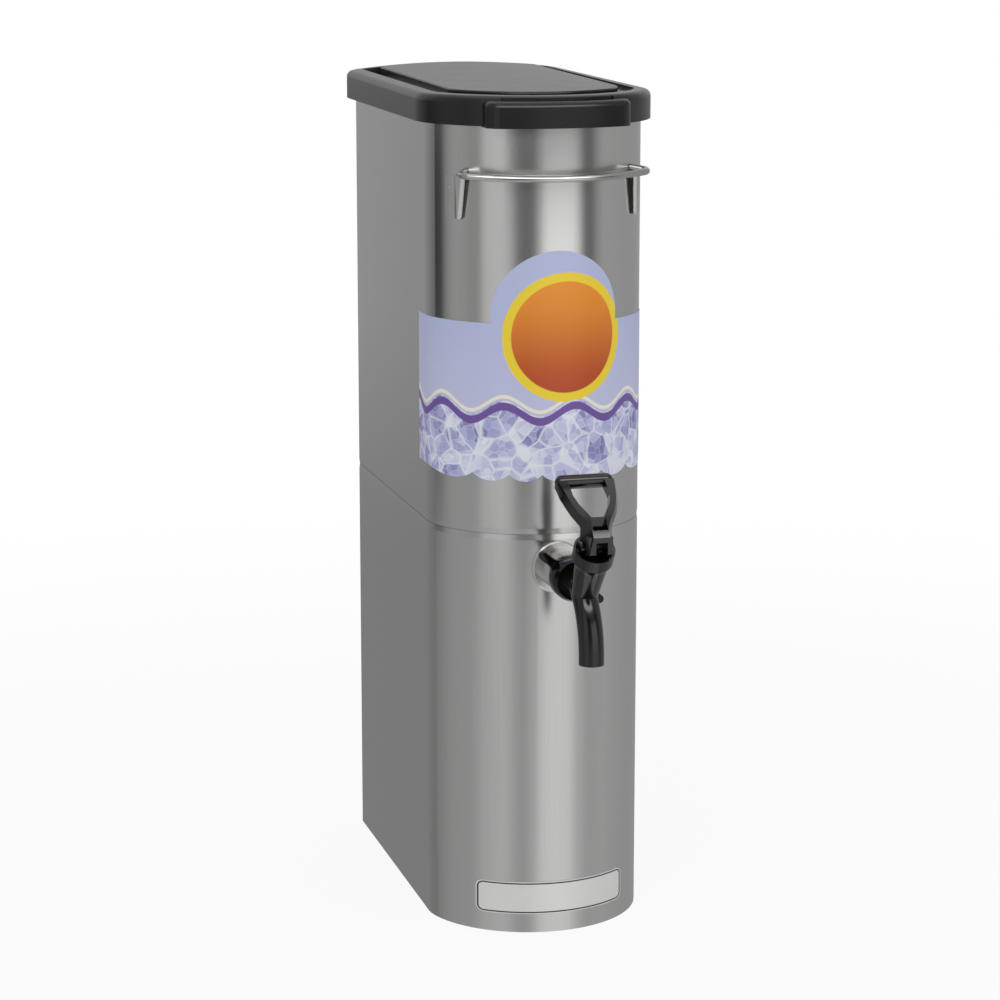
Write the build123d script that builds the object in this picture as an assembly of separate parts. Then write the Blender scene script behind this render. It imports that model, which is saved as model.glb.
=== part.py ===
from build123d import *
import os
from math import acos, atan2, cos, degrees, radians, sin, sqrt

# Iced tea dispenser: a narrow stainless tank with a round front, a lift-off lid and a lever tap.
# Millimetres. The origin is the centre of the base on the counter, -Y is the front, +Z is up.

# Body plan and heights
BODY_WIDTH = 160.0
BODY_DEPTH = 304.0
FRONT_RADIUS = 82.0
SIDE_RADIUS = 50.0
REAR_RADIUS = 5.0
SEAM_HEIGHT = 301.0
RIM_HEIGHT = 608.0
SHEET = 0.9

# Seam between the base skirt and the tank
SEAM_DEPTH = 0.5
SEAM_SLOPE = 4.0
SEAM_GAP = 0.3
LAP_GAP = 0.1
LAP_LENGTH = 45.0
HEM_HEIGHT = 8.0
FOOT_FLANGE = 14.0

# Tank floor, sloped down to the outlet at the front
FLOOR_GAP = 1.2
FLOOR_FALL = 20.0
FLOOR_SHEET = 1.0

# Lid
LID_OVERHANG = 7.0
LID_WALL = 2.4
LID_SKIRT = 20.5
LID_SEAT_GAP = 0.3
LID_RIM = 12.0
LID_MOAT = 12.0
LID_MOAT_DEPTH = 2.6
LID_PANEL_RISE = 3.9
LID_EDGE = 5.0
LID_PLATE = 3.6
LID_RIB = 2.0
LID_RIB_DEPTH = 10.0
LID_RIB_GAP = 0.7
LID_CROWN = 6.2
LID_FRONT_CROWN = 0.4
LIP_HALF = 53.0
LIP_FRONT_RADIUS = 132.0
LIP_REACH = 8.5
LIP_DROP = 0.6
LIP_TOP_STEP = 2.6
LIP_CORNER = 12.0
LIP_GROOVE = 4.0
LIP_GROOVE_DEPTH = 2.2

# Front handle rod and its two brackets
ROD_RADIUS = 2.5
ROD_FRONT_GAP = 11.5
ROD_BELOW_RIM = 49.8
ROD_TILT = 4.3
ROD_TURN = 8.0
ROD_TURN_X = 60.0
ROD_TURN_OUT = 12.3
ROD_END_ANGLE = 41.0
ROD_END_GAP = 0.4
BRACKET_SHEET = 1.2
BRACKET_LENGTH = 31.2
BRACKET_EDGE_LOW = 40.4
BRACKET_EDGE_HIGH = 43.4
BRACKET_LIFT_LOW = 3.0
BRACKET_LIFT_HIGH = 4.8
BRACKET_RAMP = 38.0
BRACKET_BEND = 35.8
BRACKET_END = 29.5
BRACKET_CORNER = 3.0
DENT_RADIUS = 1.6
DENT_DEPTH = 0.3
DENT_PITCH = 13.5

# Front label and bare nameplate
LABEL_SHEET = 0.25
GLUE_GAP = 0.1
LABEL_BACK = -62.0
LABEL_BELOW_RIM = 102.0
LABEL_HEIGHT = 161.0
LABEL_CROWN_RISE = 52.0
LABEL_CROWN_HALF = 46.0
LABEL_WAVE = 5.0
LABEL_WAVES = 7
NAMEPLATE_SHEET = 0.6
NAMEPLATE_HALF = 56.0
NAMEPLATE_BOTTOM = 14.4
NAMEPLATE_HEIGHT = 24.4
NAMEPLATE_CORNER = 5.0

# Outlet spigot, washer and wing nut, along the level outlet axis
OUTLET_BELOW_SEAM = 24.2
SPIGOT_RADIUS = 14.5
SPIGOT_BORE = 8.0
SPIGOT_FLANGE = 19.2
SPIGOT_FLANGE_THICK = 3.0
SPIGOT_INSIDE = 6.0
SPIGOT_NECK = 32.0
SPIGOT_THREAD_RADIUS = 12.5
SPIGOT_LENGTH = 41.0
HOLE_GAP = 0.1
WASHER_THICK = 2.0
NUT_RADIUS = 15.9
NUT_BACK = 32.5
NUT_FRONT = 48.5
NUT_THREAD_GAP = 0.3
NUT_WEB = 3.0
WING_BACK = 32.5
WING_THICK = 5.0
WING_REACH = 26.6
WING_TIP = 3.1
WING_ROOT = 6.0
NUT_TAPER = 5.0
NUT_TAPER_IN = 1.8
WING_ANGLE = 141.0
RING_THICK = 2.0
RING_GROOVE = 1.0
RING_GAP = 0.05

# Tap body
TAP_LEAN = 32.0
CUP_OUT = 92.0
CUP_ABOVE_OUTLET = 33.2
CUP_RADIUS = 14.7
CUP_BORE = 13.2
CUP_NECK = 3.5
CUP_FLOOR_RADIUS = 11.5
CUP_DEPTH = 9.5
CHAMBER_TOP_RADIUS = 12.2
CHAMBER_MID_RADIUS = 11.0
CHAMBER_END_RADIUS = 9.4
CHAMBER_BORE = 7.0
CHAMBER_LENGTH = 47.0
CHAMBER_END_STEP = 2.0
CHAMBER_END_CHAMFER = 2.5
CHAMBER_END_WALL = 1.0
SEAT_TOP = 35.5
SEAT_BORE = 4.0
BONNET_SHELF = 4.6
BONNET_PLUG = 9.0
BONNET_END = 13.0
BONNET_FLANGE = 1.6
SHANK_RADIUS = 9.0
TAIL_RADIUS = 10.0
TAIL_BORE = 6.5
TAIL_PAST_NUT = 1.0
COLLAR_RADIUS = 11.4
COLLAR_LENGTH = 4.0
SPOUT_BEND = 52.0
SPOUT_RADIUS = 9.0
SPOUT_BORE = 6.0
SPOUT_OUT = 86.0
SPOUT_BELOW_CUP = 79.0
SPOUT_STRAIGHT = 5.2
SPOUT_START_ANGLE = 60.0
SPOUT_BORE_ANGLE = 46.0

# Valve inside the tap
STEM_RADIUS = 2.5
STEM_GAP = 0.4
EYE_RADIUS = 4.0
STEM_FLANGE = 5.6
STEM_FLANGE_TOP = 26.0
STEM_FLANGE_THICK = 1.2
BARB_RADIUS = 3.4
BARB_LENGTH = 2.0
STEM_LENGTH = 35.0
SEAT_CUP_RADIUS = 6.3
SEAT_GAP = 0.42
SPRING_POCKET = 5.6
SPRING_POCKET_TOP = 7.5
SPRING_RADIUS = 4.1
SPRING_WIRE = 0.45
SPRING_TURNS = 7
PIN_RADIUS = 1.8
PIN_RUN = 0.05

# Tap handle
PIVOT_RISE = 3.6
BARREL_RADIUS = 5.3
BARREL_HALF = 11.4
SLOT_HALF = 4.2
SLOT_ABOVE = 4.6
EYE_SIDE_GAP = 0.4
FACE_OUT = 16.0
FACE_HALF = 8.4
FACE_THICK = 3.5
FACE_BELOW = 3.7
FACE_ABOVE = 8.3
SIDE_BEHIND = 1.0
SIDE_BELOW = 3.7
CAM_OUT = 7.0
CAM_DEPTH = 5.8
CAM_BACK = 3.0
ROOT_HALF = 9.4
WAIST_HALF = 15.4
SHOULDER_HALF = 18.6
GRIP_HALF = 21.0
GRIP_END_HALF = 18.6
ROOT_UP = 1.0
WAIST_UP = 18.0
SHOULDER_UP = 33.0
FLARE = 0.4
GRIP_BACK = 29.0
GRIP_UP = 39.3
GRIP_RADIUS = 5.0
ARM_BULGE = 13.2
ARM_THICK = 7.4
ARM_AHEAD = 5.6
ARM_BEHIND = 8.2
ARM_MIDDLE_UP = 20.6
WINDOW_TOP_HALF = 13.3
WINDOW_MID_HALF = 11.0
WINDOW_MID_UP = 25.0
WINDOW_LOW_HALF = 4.6
WINDOW_LOW_UP = 13.6
WINDOW_ROUND = 2.0
POCKET_HALF = 5.4
POCKET_THICK = 7.0

FRONT = -BODY_DEPTH / 2
REAR = BODY_DEPTH / 2
HALF = BODY_WIDTH / 2
SIDE_CENTRE_X = HALF - SIDE_RADIUS
ARC_STEP = sqrt((FRONT_RADIUS - SIDE_RADIUS) ** 2 - SIDE_CENTRE_X ** 2)
FRONT_CENTRE_Y = FRONT + FRONT_RADIUS
SIDE_CENTRE_Y = FRONT_CENTRE_Y - ARC_STEP
TANGENT = (SIDE_CENTRE_X / (FRONT_RADIUS - SIDE_RADIUS), -ARC_STEP / (FRONT_RADIUS - SIDE_RADIUS))
ROD_HEIGHT = RIM_HEIGHT - ROD_BELOW_RIM
BRACKET_TOP = ROD_HEIGHT
BRACKET_BOTTOM = BRACKET_TOP - BRACKET_LENGTH
LABEL_CROWN = RIM_HEIGHT - LABEL_BELOW_RIM
LABEL_SHOULDER = LABEL_CROWN - LABEL_CROWN_RISE
LABEL_BOTTOM = LABEL_CROWN - LABEL_HEIGHT
LAP_BOTTOM = SEAM_HEIGHT - LAP_LENGTH
OUTLET_HEIGHT = SEAM_HEIGHT - OUTLET_BELOW_SEAM
CUP_HEIGHT = OUTLET_HEIGHT + CUP_ABOVE_OUTLET
SPOUT_BEND_HEIGHT = CUP_HEIGHT - SPOUT_BELOW_CUP
SPOUT_END_HEIGHT = SPOUT_BEND_HEIGHT - SPOUT_STRAIGHT
LID_BOTTOM = RIM_HEIGHT + LID_SEAT_GAP + LID_PLATE + LID_MOAT_DEPTH - LID_SKIRT
LID_TOP = LID_BOTTOM + LID_SKIRT
LEAN = radians(TAP_LEAN)
TAP = Plane(origin=(0, FRONT - CUP_OUT, CUP_HEIGHT), x_dir=(1, 0, 0), z_dir=(0, -sin(LEAN), cos(LEAN)))
PIVOT = (FRONT - CUP_OUT - PIVOT_RISE * sin(LEAN), CUP_HEIGHT + PIVOT_RISE * cos(LEAN))


# Shared shapes

def outline(offset, height=0.0):
    """Plan of the body grown outwards by offset, as a face at the given height."""
    half = HALF + offset
    side_r = SIDE_RADIUS + offset
    front_r = FRONT_RADIUS + offset
    rear_r = max(REAR_RADIUS + offset, 1.0)
    rear = REAR + offset
    tangent_x = TANGENT[0] * front_r
    tangent_y = FRONT_CENTRE_Y + TANGENT[1] * front_r
    corner = atan2(-TANGENT[1], TANGENT[0]) / 2
    mid_x = SIDE_CENTRE_X + side_r * cos(corner)
    mid_y = SIDE_CENTRE_Y - side_r * sin(corner)
    bend = rear_r * (1 - sqrt(0.5))
    edges = [
        ThreePointArc((-tangent_x, tangent_y), (0, FRONT - offset), (tangent_x, tangent_y)),
        ThreePointArc((tangent_x, tangent_y), (mid_x, mid_y), (half, SIDE_CENTRE_Y)),
        Line((half, SIDE_CENTRE_Y), (half, rear - rear_r)),
        ThreePointArc((half, rear - rear_r), (half - bend, rear - bend), (half - rear_r, rear)),
        Line((half - rear_r, rear), (rear_r - half, rear)),
        ThreePointArc((rear_r - half, rear), (bend - half, rear - bend), (-half, rear - rear_r)),
        Line((-half, rear - rear_r), (-half, SIDE_CENTRE_Y)),
        ThreePointArc((-half, SIDE_CENTRE_Y), (-mid_x, mid_y), (-tangent_x, tangent_y)),
    ]
    return Pos(0, 0, height) * make_face(Wire(edges))


def block_of(offset, low, high):
    """Solid of the body plan between two heights."""
    return extrude(outline(offset, low), high - low)


def wall_of(outer, inner, low, high):
    """Upright wall between two offsets of the body plan."""
    return block_of(outer, low, high) - block_of(inner, low, high)


def sloped_wall(outer_low, outer_high, thick, low, high):
    """Sheet wall whose offset changes from its lower to its upper edge."""
    outside = loft([outline(outer_low, low), outline(outer_high, high)], ruled=True)
    inside = loft([outline(outer_low - thick, low), outline(outer_high - thick, high)], ruled=True)
    return outside - inside


def level_rod(radius, start, end):
    """Cylinder along the outlet axis, between two distances out from the front wall."""
    plane = Plane(origin=(0, FRONT - start, OUTLET_HEIGHT), x_dir=(1, 0, 0), z_dir=(0, -1, 0))
    return extrude(plane * Circle(radius), end - start)


def turned(points):
    """Solid of revolution about the tap's axis, from (radius, height) points above the cup's rim."""
    profile = make_face(Polyline(*[(r, 0, z) for r, z in points], close=True))
    return TAP * revolve(profile, Axis.Z)


def cross_rod(radius, half, y, z):
    """Cylinder along X, centred on the middle plane."""
    return extrude(Plane(origin=(-half, y, z), x_dir=(0, 1, 0), z_dir=(1, 0, 0)) * Circle(radius), 2 * half)


def side_profile(points, half):
    """Prism along X from (y, z) points."""
    face = make_face(Polyline(*[(-half, y, z) for y, z in points], close=True))
    return extrude(face, amount=2 * half, dir=(1, 0, 0))


def front_point(angle, offset, side):
    """Point on the front arc of the plan, from its angle in front of the side."""
    reach = FRONT_RADIUS + offset
    return (side * reach * cos(radians(angle)), FRONT_CENTRE_Y - reach * sin(radians(angle)))


# Sheet metal body

def make_base_skirt():
    """Lower shroud: straight wall, joggled top edge, turned-in foot flange and outlet hole."""
    straight_top = SEAM_HEIGHT - SEAM_GAP / 2 - SEAM_SLOPE
    skirt = wall_of(0, -SHEET, 0, straight_top)
    skirt += sloped_wall(0, -SEAM_DEPTH, SHEET, straight_top, straight_top + SEAM_SLOPE)
    skirt += wall_of(-SHEET, -FOOT_FLANGE, 0, SHEET)
    return skirt - level_rod(SPIGOT_RADIUS + HOLE_GAP, -SPIGOT_INSIDE * 2, SPIGOT_LENGTH)


def lap_offset():
    """Offset of the outside of the tank's lap, which slips down inside the skirt."""
    return -(SHEET + SEAM_DEPTH + LAP_GAP)


def make_tank_shell():
    """Tank wall with its folded top hem, the joggle at the seam and the lap inside the skirt."""
    joggle_low = SEAM_HEIGHT + SEAM_GAP / 2
    joggle_high = joggle_low + SEAM_SLOPE
    shell = wall_of(0, -SHEET, joggle_high, RIM_HEIGHT)
    shell += sloped_wall(-SEAM_DEPTH, 0, SHEET, joggle_low, joggle_high)
    shell += wall_of(-SEAM_DEPTH, lap_offset() - SHEET, joggle_low, joggle_low + SHEET)
    shell += wall_of(lap_offset(), lap_offset() - SHEET, LAP_BOTTOM, joggle_low + SHEET)
    shell += wall_of(SHEET, 0, RIM_HEIGHT - HEM_HEIGHT, RIM_HEIGHT)
    return shell - level_rod(SPIGOT_RADIUS + HOLE_GAP, -SPIGOT_INSIDE * 2, SPIGOT_LENGTH)


def floor_height(y, rise=0.0):
    """Height of the floor's top face at a depth y, plus a rise."""
    front = OUTLET_HEIGHT - SPIGOT_RADIUS - FLOOR_GAP
    return front + FLOOR_FALL * (y - FRONT) / BODY_DEPTH + rise


def make_tank_floor():
    """Sloped floor sheet that drains towards the outlet."""
    slab = side_profile([
        (FRONT, floor_height(FRONT)),
        (REAR, floor_height(REAR)),
        (REAR, floor_height(REAR, -FLOOR_SHEET)),
        (FRONT, floor_height(FRONT, -FLOOR_SHEET)),
    ], HALF)
    return slab & block_of(lap_offset() - SHEET, 0, RIM_HEIGHT)


def make_outlet_spigot():
    """Turned spigot welded through both walls, with a flange outside and a threaded nose."""
    spigot = level_rod(SPIGOT_RADIUS, -SPIGOT_INSIDE, SPIGOT_NECK)
    spigot += level_rod(SPIGOT_THREAD_RADIUS, SPIGOT_NECK, SPIGOT_LENGTH)
    flange = level_rod(SPIGOT_FLANGE, -SPIGOT_INSIDE, SPIGOT_FLANGE_THICK)
    flange -= block_of(0, OUTLET_HEIGHT - 2 * SPIGOT_FLANGE, OUTLET_HEIGHT + 2 * SPIGOT_FLANGE)
    rim = flange.faces().sort_by(Axis.Y)[0].edges()
    flange = chamfer(rim, SPIGOT_FLANGE_THICK / 3)
    spigot += flange
    nose = spigot.faces().sort_by(Axis.Y)[0].outer_wire().edges()
    spigot = chamfer(nose, HOLE_GAP * 10)
    return spigot - level_rod(SPIGOT_BORE, -2 * SPIGOT_INSIDE, SPIGOT_LENGTH)


# Lid

def make_lid_lip():
    """Finger lip across the lid's front, on a flatter arc than the skirt."""
    lid_front = FRONT - LID_OVERHANG
    centre_y = lid_front - LIP_REACH + LIP_FRONT_RADIUS
    back = SIDE_CENTRE_Y
    edge_y = centre_y - sqrt(LIP_FRONT_RADIUS ** 2 - LIP_HALF ** 2)
    edges = [
        ThreePointArc((-LIP_HALF, edge_y), (0, centre_y - LIP_FRONT_RADIUS), (LIP_HALF, edge_y)),
        Line((LIP_HALF, edge_y), (LIP_HALF, back)),
        Line((LIP_HALF, back), (-LIP_HALF, back)),
        Line((-LIP_HALF, back), (-LIP_HALF, edge_y)),
    ]
    low = LID_BOTTOM - LIP_DROP
    high = LID_TOP - LIP_TOP_STEP
    lip = extrude(Pos(0, 0, low) * make_face(Wire(edges)), high - low)
    corners = lip.edges().filter_by(Axis.Z).sort_by(Axis.Y)[:2]
    lip = fillet(corners, LIP_CORNER)
    front_top = lip.faces().sort_by(Axis.Z)[-1].edges().filter_by(lambda e: e.center().Y < edge_y + LIP_CORNER / 2)
    return fillet(front_top, LIP_GROOVE)


def lid_crown(rise):
    """Vault over the lid, nearly flat at the front and arched at the rear, raised by rise."""
    half = HALF + LID_OVERHANG + LID_WALL
    base = LID_BOTTOM - LID_SKIRT
    sections = []
    for y, arch in ((FRONT - 2 * LIP_REACH, LID_FRONT_CROWN), (REAR + 2 * LID_OVERHANG, LID_CROWN)):
        edges = [
            ThreePointArc((-half, y, LID_TOP + rise), (0, y, LID_TOP + rise + arch), (half, y, LID_TOP + rise)),
            Line((half, y, LID_TOP + rise), (half, y, base)),
            Line((half, y, base), (-half, y, base)),
            Line((-half, y, base), (-half, y, LID_TOP + rise)),
        ]
        sections.append(make_face(Wire(edges)))
    return loft(sections, ruled=True)


def make_lid():
    """Moulded lid: skirt, rounded rim, moat, raised panel, finger lip and an inner locating rib."""
    outer = LID_OVERHANG
    moat_outer = outer - LID_RIM
    panel_edge = moat_outer - LID_MOAT
    roof = RIM_HEIGHT + LID_SEAT_GAP
    moat_floor = LID_TOP - LID_MOAT_DEPTH
    panel_rise = LID_PANEL_RISE - LID_MOAT_DEPTH
    lid = block_of(outer, LID_BOTTOM, LID_TOP + LID_SKIRT) & lid_crown(0)
    lid = fillet(lid.faces().sort_by(Axis.Z)[-1].edges(), LID_EDGE)
    lip = make_lid_lip() - block_of(outer - LID_WALL, LID_BOTTOM - 2 * LIP_DROP, LID_TOP)
    lid += lip
    groove_low = LID_TOP - LIP_TOP_STEP - LIP_GROOVE_DEPTH
    groove = wall_of(outer + LIP_GROOVE / 2, outer - LIP_GROOVE / 2, groove_low, LID_TOP + LID_WALL)
    reach = Pos(0, FRONT, groove_low) * Box(
        2 * (LIP_HALF - LIP_CORNER), 2 * SIDE_RADIUS, 2 * LID_SKIRT, align=(Align.CENTER, Align.CENTER, Align.MIN))
    lid -= groove & reach
    lid -= block_of(moat_outer, moat_floor, LID_TOP + LID_SKIRT)
    panel = block_of(panel_edge, moat_floor - LID_WALL, LID_TOP + LID_SKIRT) & lid_crown(panel_rise)
    panel = fillet(panel.faces().sort_by(Axis.Z)[-1].edges(), LID_WALL / 2)
    lid += panel
    lid -= block_of(outer - LID_WALL, LID_BOTTOM - 2 * LIP_DROP, roof)
    lid -= block_of(panel_edge - LID_WALL, roof - LID_WALL, LID_TOP + LID_SKIRT) & lid_crown(panel_rise - LID_WALL)
    rib_outer = -(SHEET + LID_RIB_GAP)
    lid += wall_of(rib_outer, rib_outer - LID_RIB, roof - LID_RIB_DEPTH, roof + LID_WALL / 2)
    return lid


# Front rod and brackets

def rod_half(side):
    """One half of the rod's centre line in its tilted plane, from its end at the wall to the front arc."""
    front_y = FRONT - ROD_FRONT_GAP - ROD_RADIUS
    turn_x, turn_y = ROD_TURN_X, FRONT + ROD_TURN_OUT
    deep = turn_y - front_y
    front_r = (turn_x ** 2 + deep ** 2 - ROD_TURN ** 2) / (2 * (deep - ROD_TURN))
    end_x, end_y = front_point(ROD_END_ANGLE, -ROD_RADIUS, 1)
    reach = sqrt((end_x - turn_x) ** 2 + (end_y - turn_y) ** 2)
    leave = atan2(end_y - turn_y, end_x - turn_x) - acos(ROD_TURN / reach)
    join = atan2(deep - front_r, turn_x)
    tilt = radians(ROD_TILT)
    loop = Plane(origin=(0, front_y, ROD_HEIGHT), x_dir=(1, 0, 0), z_dir=(0, -sin(tilt), cos(tilt)))
    place = lambda x, y: loop.from_local_coords((side * x, y - front_y, 0))
    turn = lambda a: place(turn_x + ROD_TURN * cos(a), turn_y + ROD_TURN * sin(a))
    return [
        Line(place(end_x, end_y), turn(leave)),
        ThreePointArc(turn(leave), turn((join + leave) / 2), turn(join)),
    ]


def make_handle_rod():
    """Round rod that follows the front at a stand-off and turns back to the wall above each bracket."""
    right = rod_half(1)
    left = rod_half(-1)
    nose = (0, FRONT - ROD_FRONT_GAP - ROD_RADIUS, ROD_HEIGHT)
    front = ThreePointArc(right[-1] @ 1, nose, left[-1] @ 1)
    path = Wire(right + [front] + left)
    start = right[0]
    rod = sweep(Plane(origin=start @ 0, z_dir=start % 0) * Circle(ROD_RADIUS), path=path)
    return rod - block_of(ROD_END_GAP, BRACKET_BOTTOM, RIM_HEIGHT)


def bracket_section(height, edge_angle, lift, side):
    """Plan section of a bracket: an edge held off the wall, a ramp down to it and a foot along it."""
    at = lambda angle, offset: (*front_point(angle, offset, side), height)
    middle = (BRACKET_BEND + BRACKET_END) / 2
    return make_face(Wire([
        Line(at(edge_angle, lift - BRACKET_SHEET), at(edge_angle, lift)),
        Line(at(edge_angle, lift), at(BRACKET_RAMP, lift)),
        Line(at(BRACKET_RAMP, lift), at(BRACKET_BEND, BRACKET_SHEET)),
        ThreePointArc(at(BRACKET_BEND, BRACKET_SHEET), at(middle, BRACKET_SHEET), at(BRACKET_END, BRACKET_SHEET)),
        Line(at(BRACKET_END, BRACKET_SHEET), at(BRACKET_END, 0)),
        ThreePointArc(at(BRACKET_END, 0), at(middle, 0), at(BRACKET_BEND, 0)),
        Line(at(BRACKET_BEND, 0), at(BRACKET_RAMP, lift - BRACKET_SHEET)),
        Line(at(BRACKET_RAMP, lift - BRACKET_SHEET), at(edge_angle, lift - BRACKET_SHEET)),
    ]))


def make_bracket(side):
    """Pressed sheet bracket with a spot-welded foot, whose raised edge carries the rod's end on its top."""
    low = bracket_section(BRACKET_BOTTOM, BRACKET_EDGE_LOW, BRACKET_LIFT_LOW, side)
    high = bracket_section(BRACKET_TOP, BRACKET_EDGE_HIGH, BRACKET_LIFT_HIGH, side)
    bracket = loft([low, high], ruled=True)
    corners = bracket.edges().filter_by(lambda e: e.length < 1.5 * BRACKET_SHEET)
    bracket = fillet(corners.filter_by(lambda e: e.center().Z < BRACKET_TOP - BRACKET_SHEET), BRACKET_CORNER)
    middle = (BRACKET_BOTTOM + BRACKET_TOP) / 2
    for step in (-0.5, 0.5):
        x, y = front_point((BRACKET_BEND + BRACKET_END) / 2, BRACKET_SHEET + DENT_RADIUS - DENT_DEPTH, side)
        bracket -= Pos(x, y, middle + step * DENT_PITCH) * Sphere(DENT_RADIUS)
    return bracket


# Label and nameplate

def make_front_label():
    """Thin label round the front, with a raised crown and a waved lower edge."""
    half = HALF + 2 * (GLUE_GAP + LABEL_SHEET)
    wave = 2 * half / LABEL_WAVES
    points = []
    edges = []
    for index in range(LABEL_WAVES):
        left = -half + index * wave
        edges.append(ThreePointArc(
            (left, LABEL_BOTTOM), (left + wave / 2, LABEL_BOTTOM - LABEL_WAVE), (left + wave, LABEL_BOTTOM)))
    points = [
        (half, LABEL_BOTTOM), (half, LABEL_SHOULDER), (LABEL_CROWN_HALF, LABEL_SHOULDER)]
    edges.append(Line(points[0], points[1]))
    edges.append(Line(points[1], points[2]))
    edges.append(ThreePointArc(points[2], (0, LABEL_CROWN), (-LABEL_CROWN_HALF, LABEL_SHOULDER)))
    edges.append(Line((-LABEL_CROWN_HALF, LABEL_SHOULDER), (-half, LABEL_SHOULDER)))
    edges.append(Line((-half, LABEL_SHOULDER), (-half, LABEL_BOTTOM)))
    front_plane = Plane(origin=(0, LABEL_BACK, 0), x_dir=(1, 0, 0), z_dir=(0, -1, 0))
    cutter = extrude(front_plane * make_face(Wire(edges)), BODY_DEPTH)
    low = LABEL_BOTTOM - 2 * LABEL_WAVE
    return wall_of(GLUE_GAP + LABEL_SHEET, GLUE_GAP, low, LABEL_CROWN + LABEL_WAVE) & cutter


def make_nameplate():
    """Bare curved plate low on the front, with rounded corners."""
    front_plane = Plane(
        origin=(0, SIDE_CENTRE_Y, NAMEPLATE_BOTTOM + NAMEPLATE_HEIGHT / 2), x_dir=(1, 0, 0), z_dir=(0, -1, 0))
    face = front_plane * RectangleRounded(2 * NAMEPLATE_HALF, NAMEPLATE_HEIGHT, NAMEPLATE_CORNER)
    cutter = extrude(face, BODY_DEPTH)
    return wall_of(GLUE_GAP + NAMEPLATE_SHEET, GLUE_GAP, SHEET, NAMEPLATE_BOTTOM + 2 * NAMEPLATE_HEIGHT) & cutter


# Outlet joint

def make_outlet_washer():
    """Flat washer between the spigot's nose and the tap's tail."""
    end = SPIGOT_LENGTH + WASHER_THICK
    return level_rod(TAIL_RADIUS + RING_THICK, SPIGOT_LENGTH, end) - level_rod(SPIGOT_BORE, SPIGOT_LENGTH, end)


def ring_start():
    """Distance out from the wall to the back face of the retaining ring."""
    return NUT_FRONT - NUT_WEB - RING_GAP - RING_THICK


def make_retaining_ring():
    """Open ring in the tail's groove, which the wing nut draws against the washer."""
    start = ring_start()
    ring = level_rod(TAIL_RADIUS + RING_THICK, start, start + RING_THICK)
    ring -= level_rod(TAIL_RADIUS - RING_GROOVE + RING_GAP, start, start + RING_THICK)
    gap = Pos(0, FRONT - start, OUTLET_HEIGHT - TAIL_RADIUS) * Box(TAIL_RADIUS, 4 * RING_THICK, TAIL_RADIUS)
    return ring - gap


def make_wing_nut():
    """Union nut with two wings, threaded over the spigot's nose."""
    plane = Plane(origin=(0, FRONT - WING_BACK, OUTLET_HEIGHT), x_dir=(1, 0, 0), z_dir=(0, -1, 0))
    wings = Circle(NUT_RADIUS) + SlotCenterToCenter(2 * WING_REACH, 2 * WING_TIP)
    roots = [v for v in wings.vertices() if Vector(*v).length < NUT_RADIUS + WING_TIP / 2]
    wings = fillet(roots, WING_ROOT)
    blade = extrude(plane * (Rot(0, 0, WING_ANGLE) * wings), WING_THICK)
    blade = fillet(blade.faces().sort_by(Axis.Y)[0].edges(), WING_THICK / 6)
    hub = level_rod(NUT_RADIUS, NUT_BACK, NUT_FRONT)
    rim = hub.faces().sort_by(Axis.Y)[0]
    hub = chamfer(rim.edges(), NUT_TAPER_IN, NUT_TAPER, reference=rim)
    nut = hub + blade
    nut -= level_rod(SPIGOT_THREAD_RADIUS + NUT_THREAD_GAP, 0, NUT_FRONT - NUT_WEB)
    return nut - level_rod(TAIL_RADIUS + NUT_THREAD_GAP, 0, 2 * NUT_FRONT)


# Tap body and valve

def spout_path(start_angle):
    """Centre line of the spout: one quarter-turn arc down to a short straight end."""
    centre_y = FRONT - SPOUT_OUT + SPOUT_BEND
    point = lambda a: (0, centre_y - SPOUT_BEND * cos(radians(a)), SPOUT_BEND_HEIGHT + SPOUT_BEND * sin(radians(a)))
    arc = ThreePointArc(point(start_angle), point(start_angle / 2), point(0))
    return Wire([arc, Line(point(0), (0, FRONT - SPOUT_OUT, SPOUT_END_HEIGHT))])


def spout_tube(radius, start_angle):
    """Round bar along the spout's centre line."""
    path = spout_path(start_angle)
    return sweep(Plane(origin=path @ 0, z_dir=path % 0) * Circle(radius), path=path)


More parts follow.
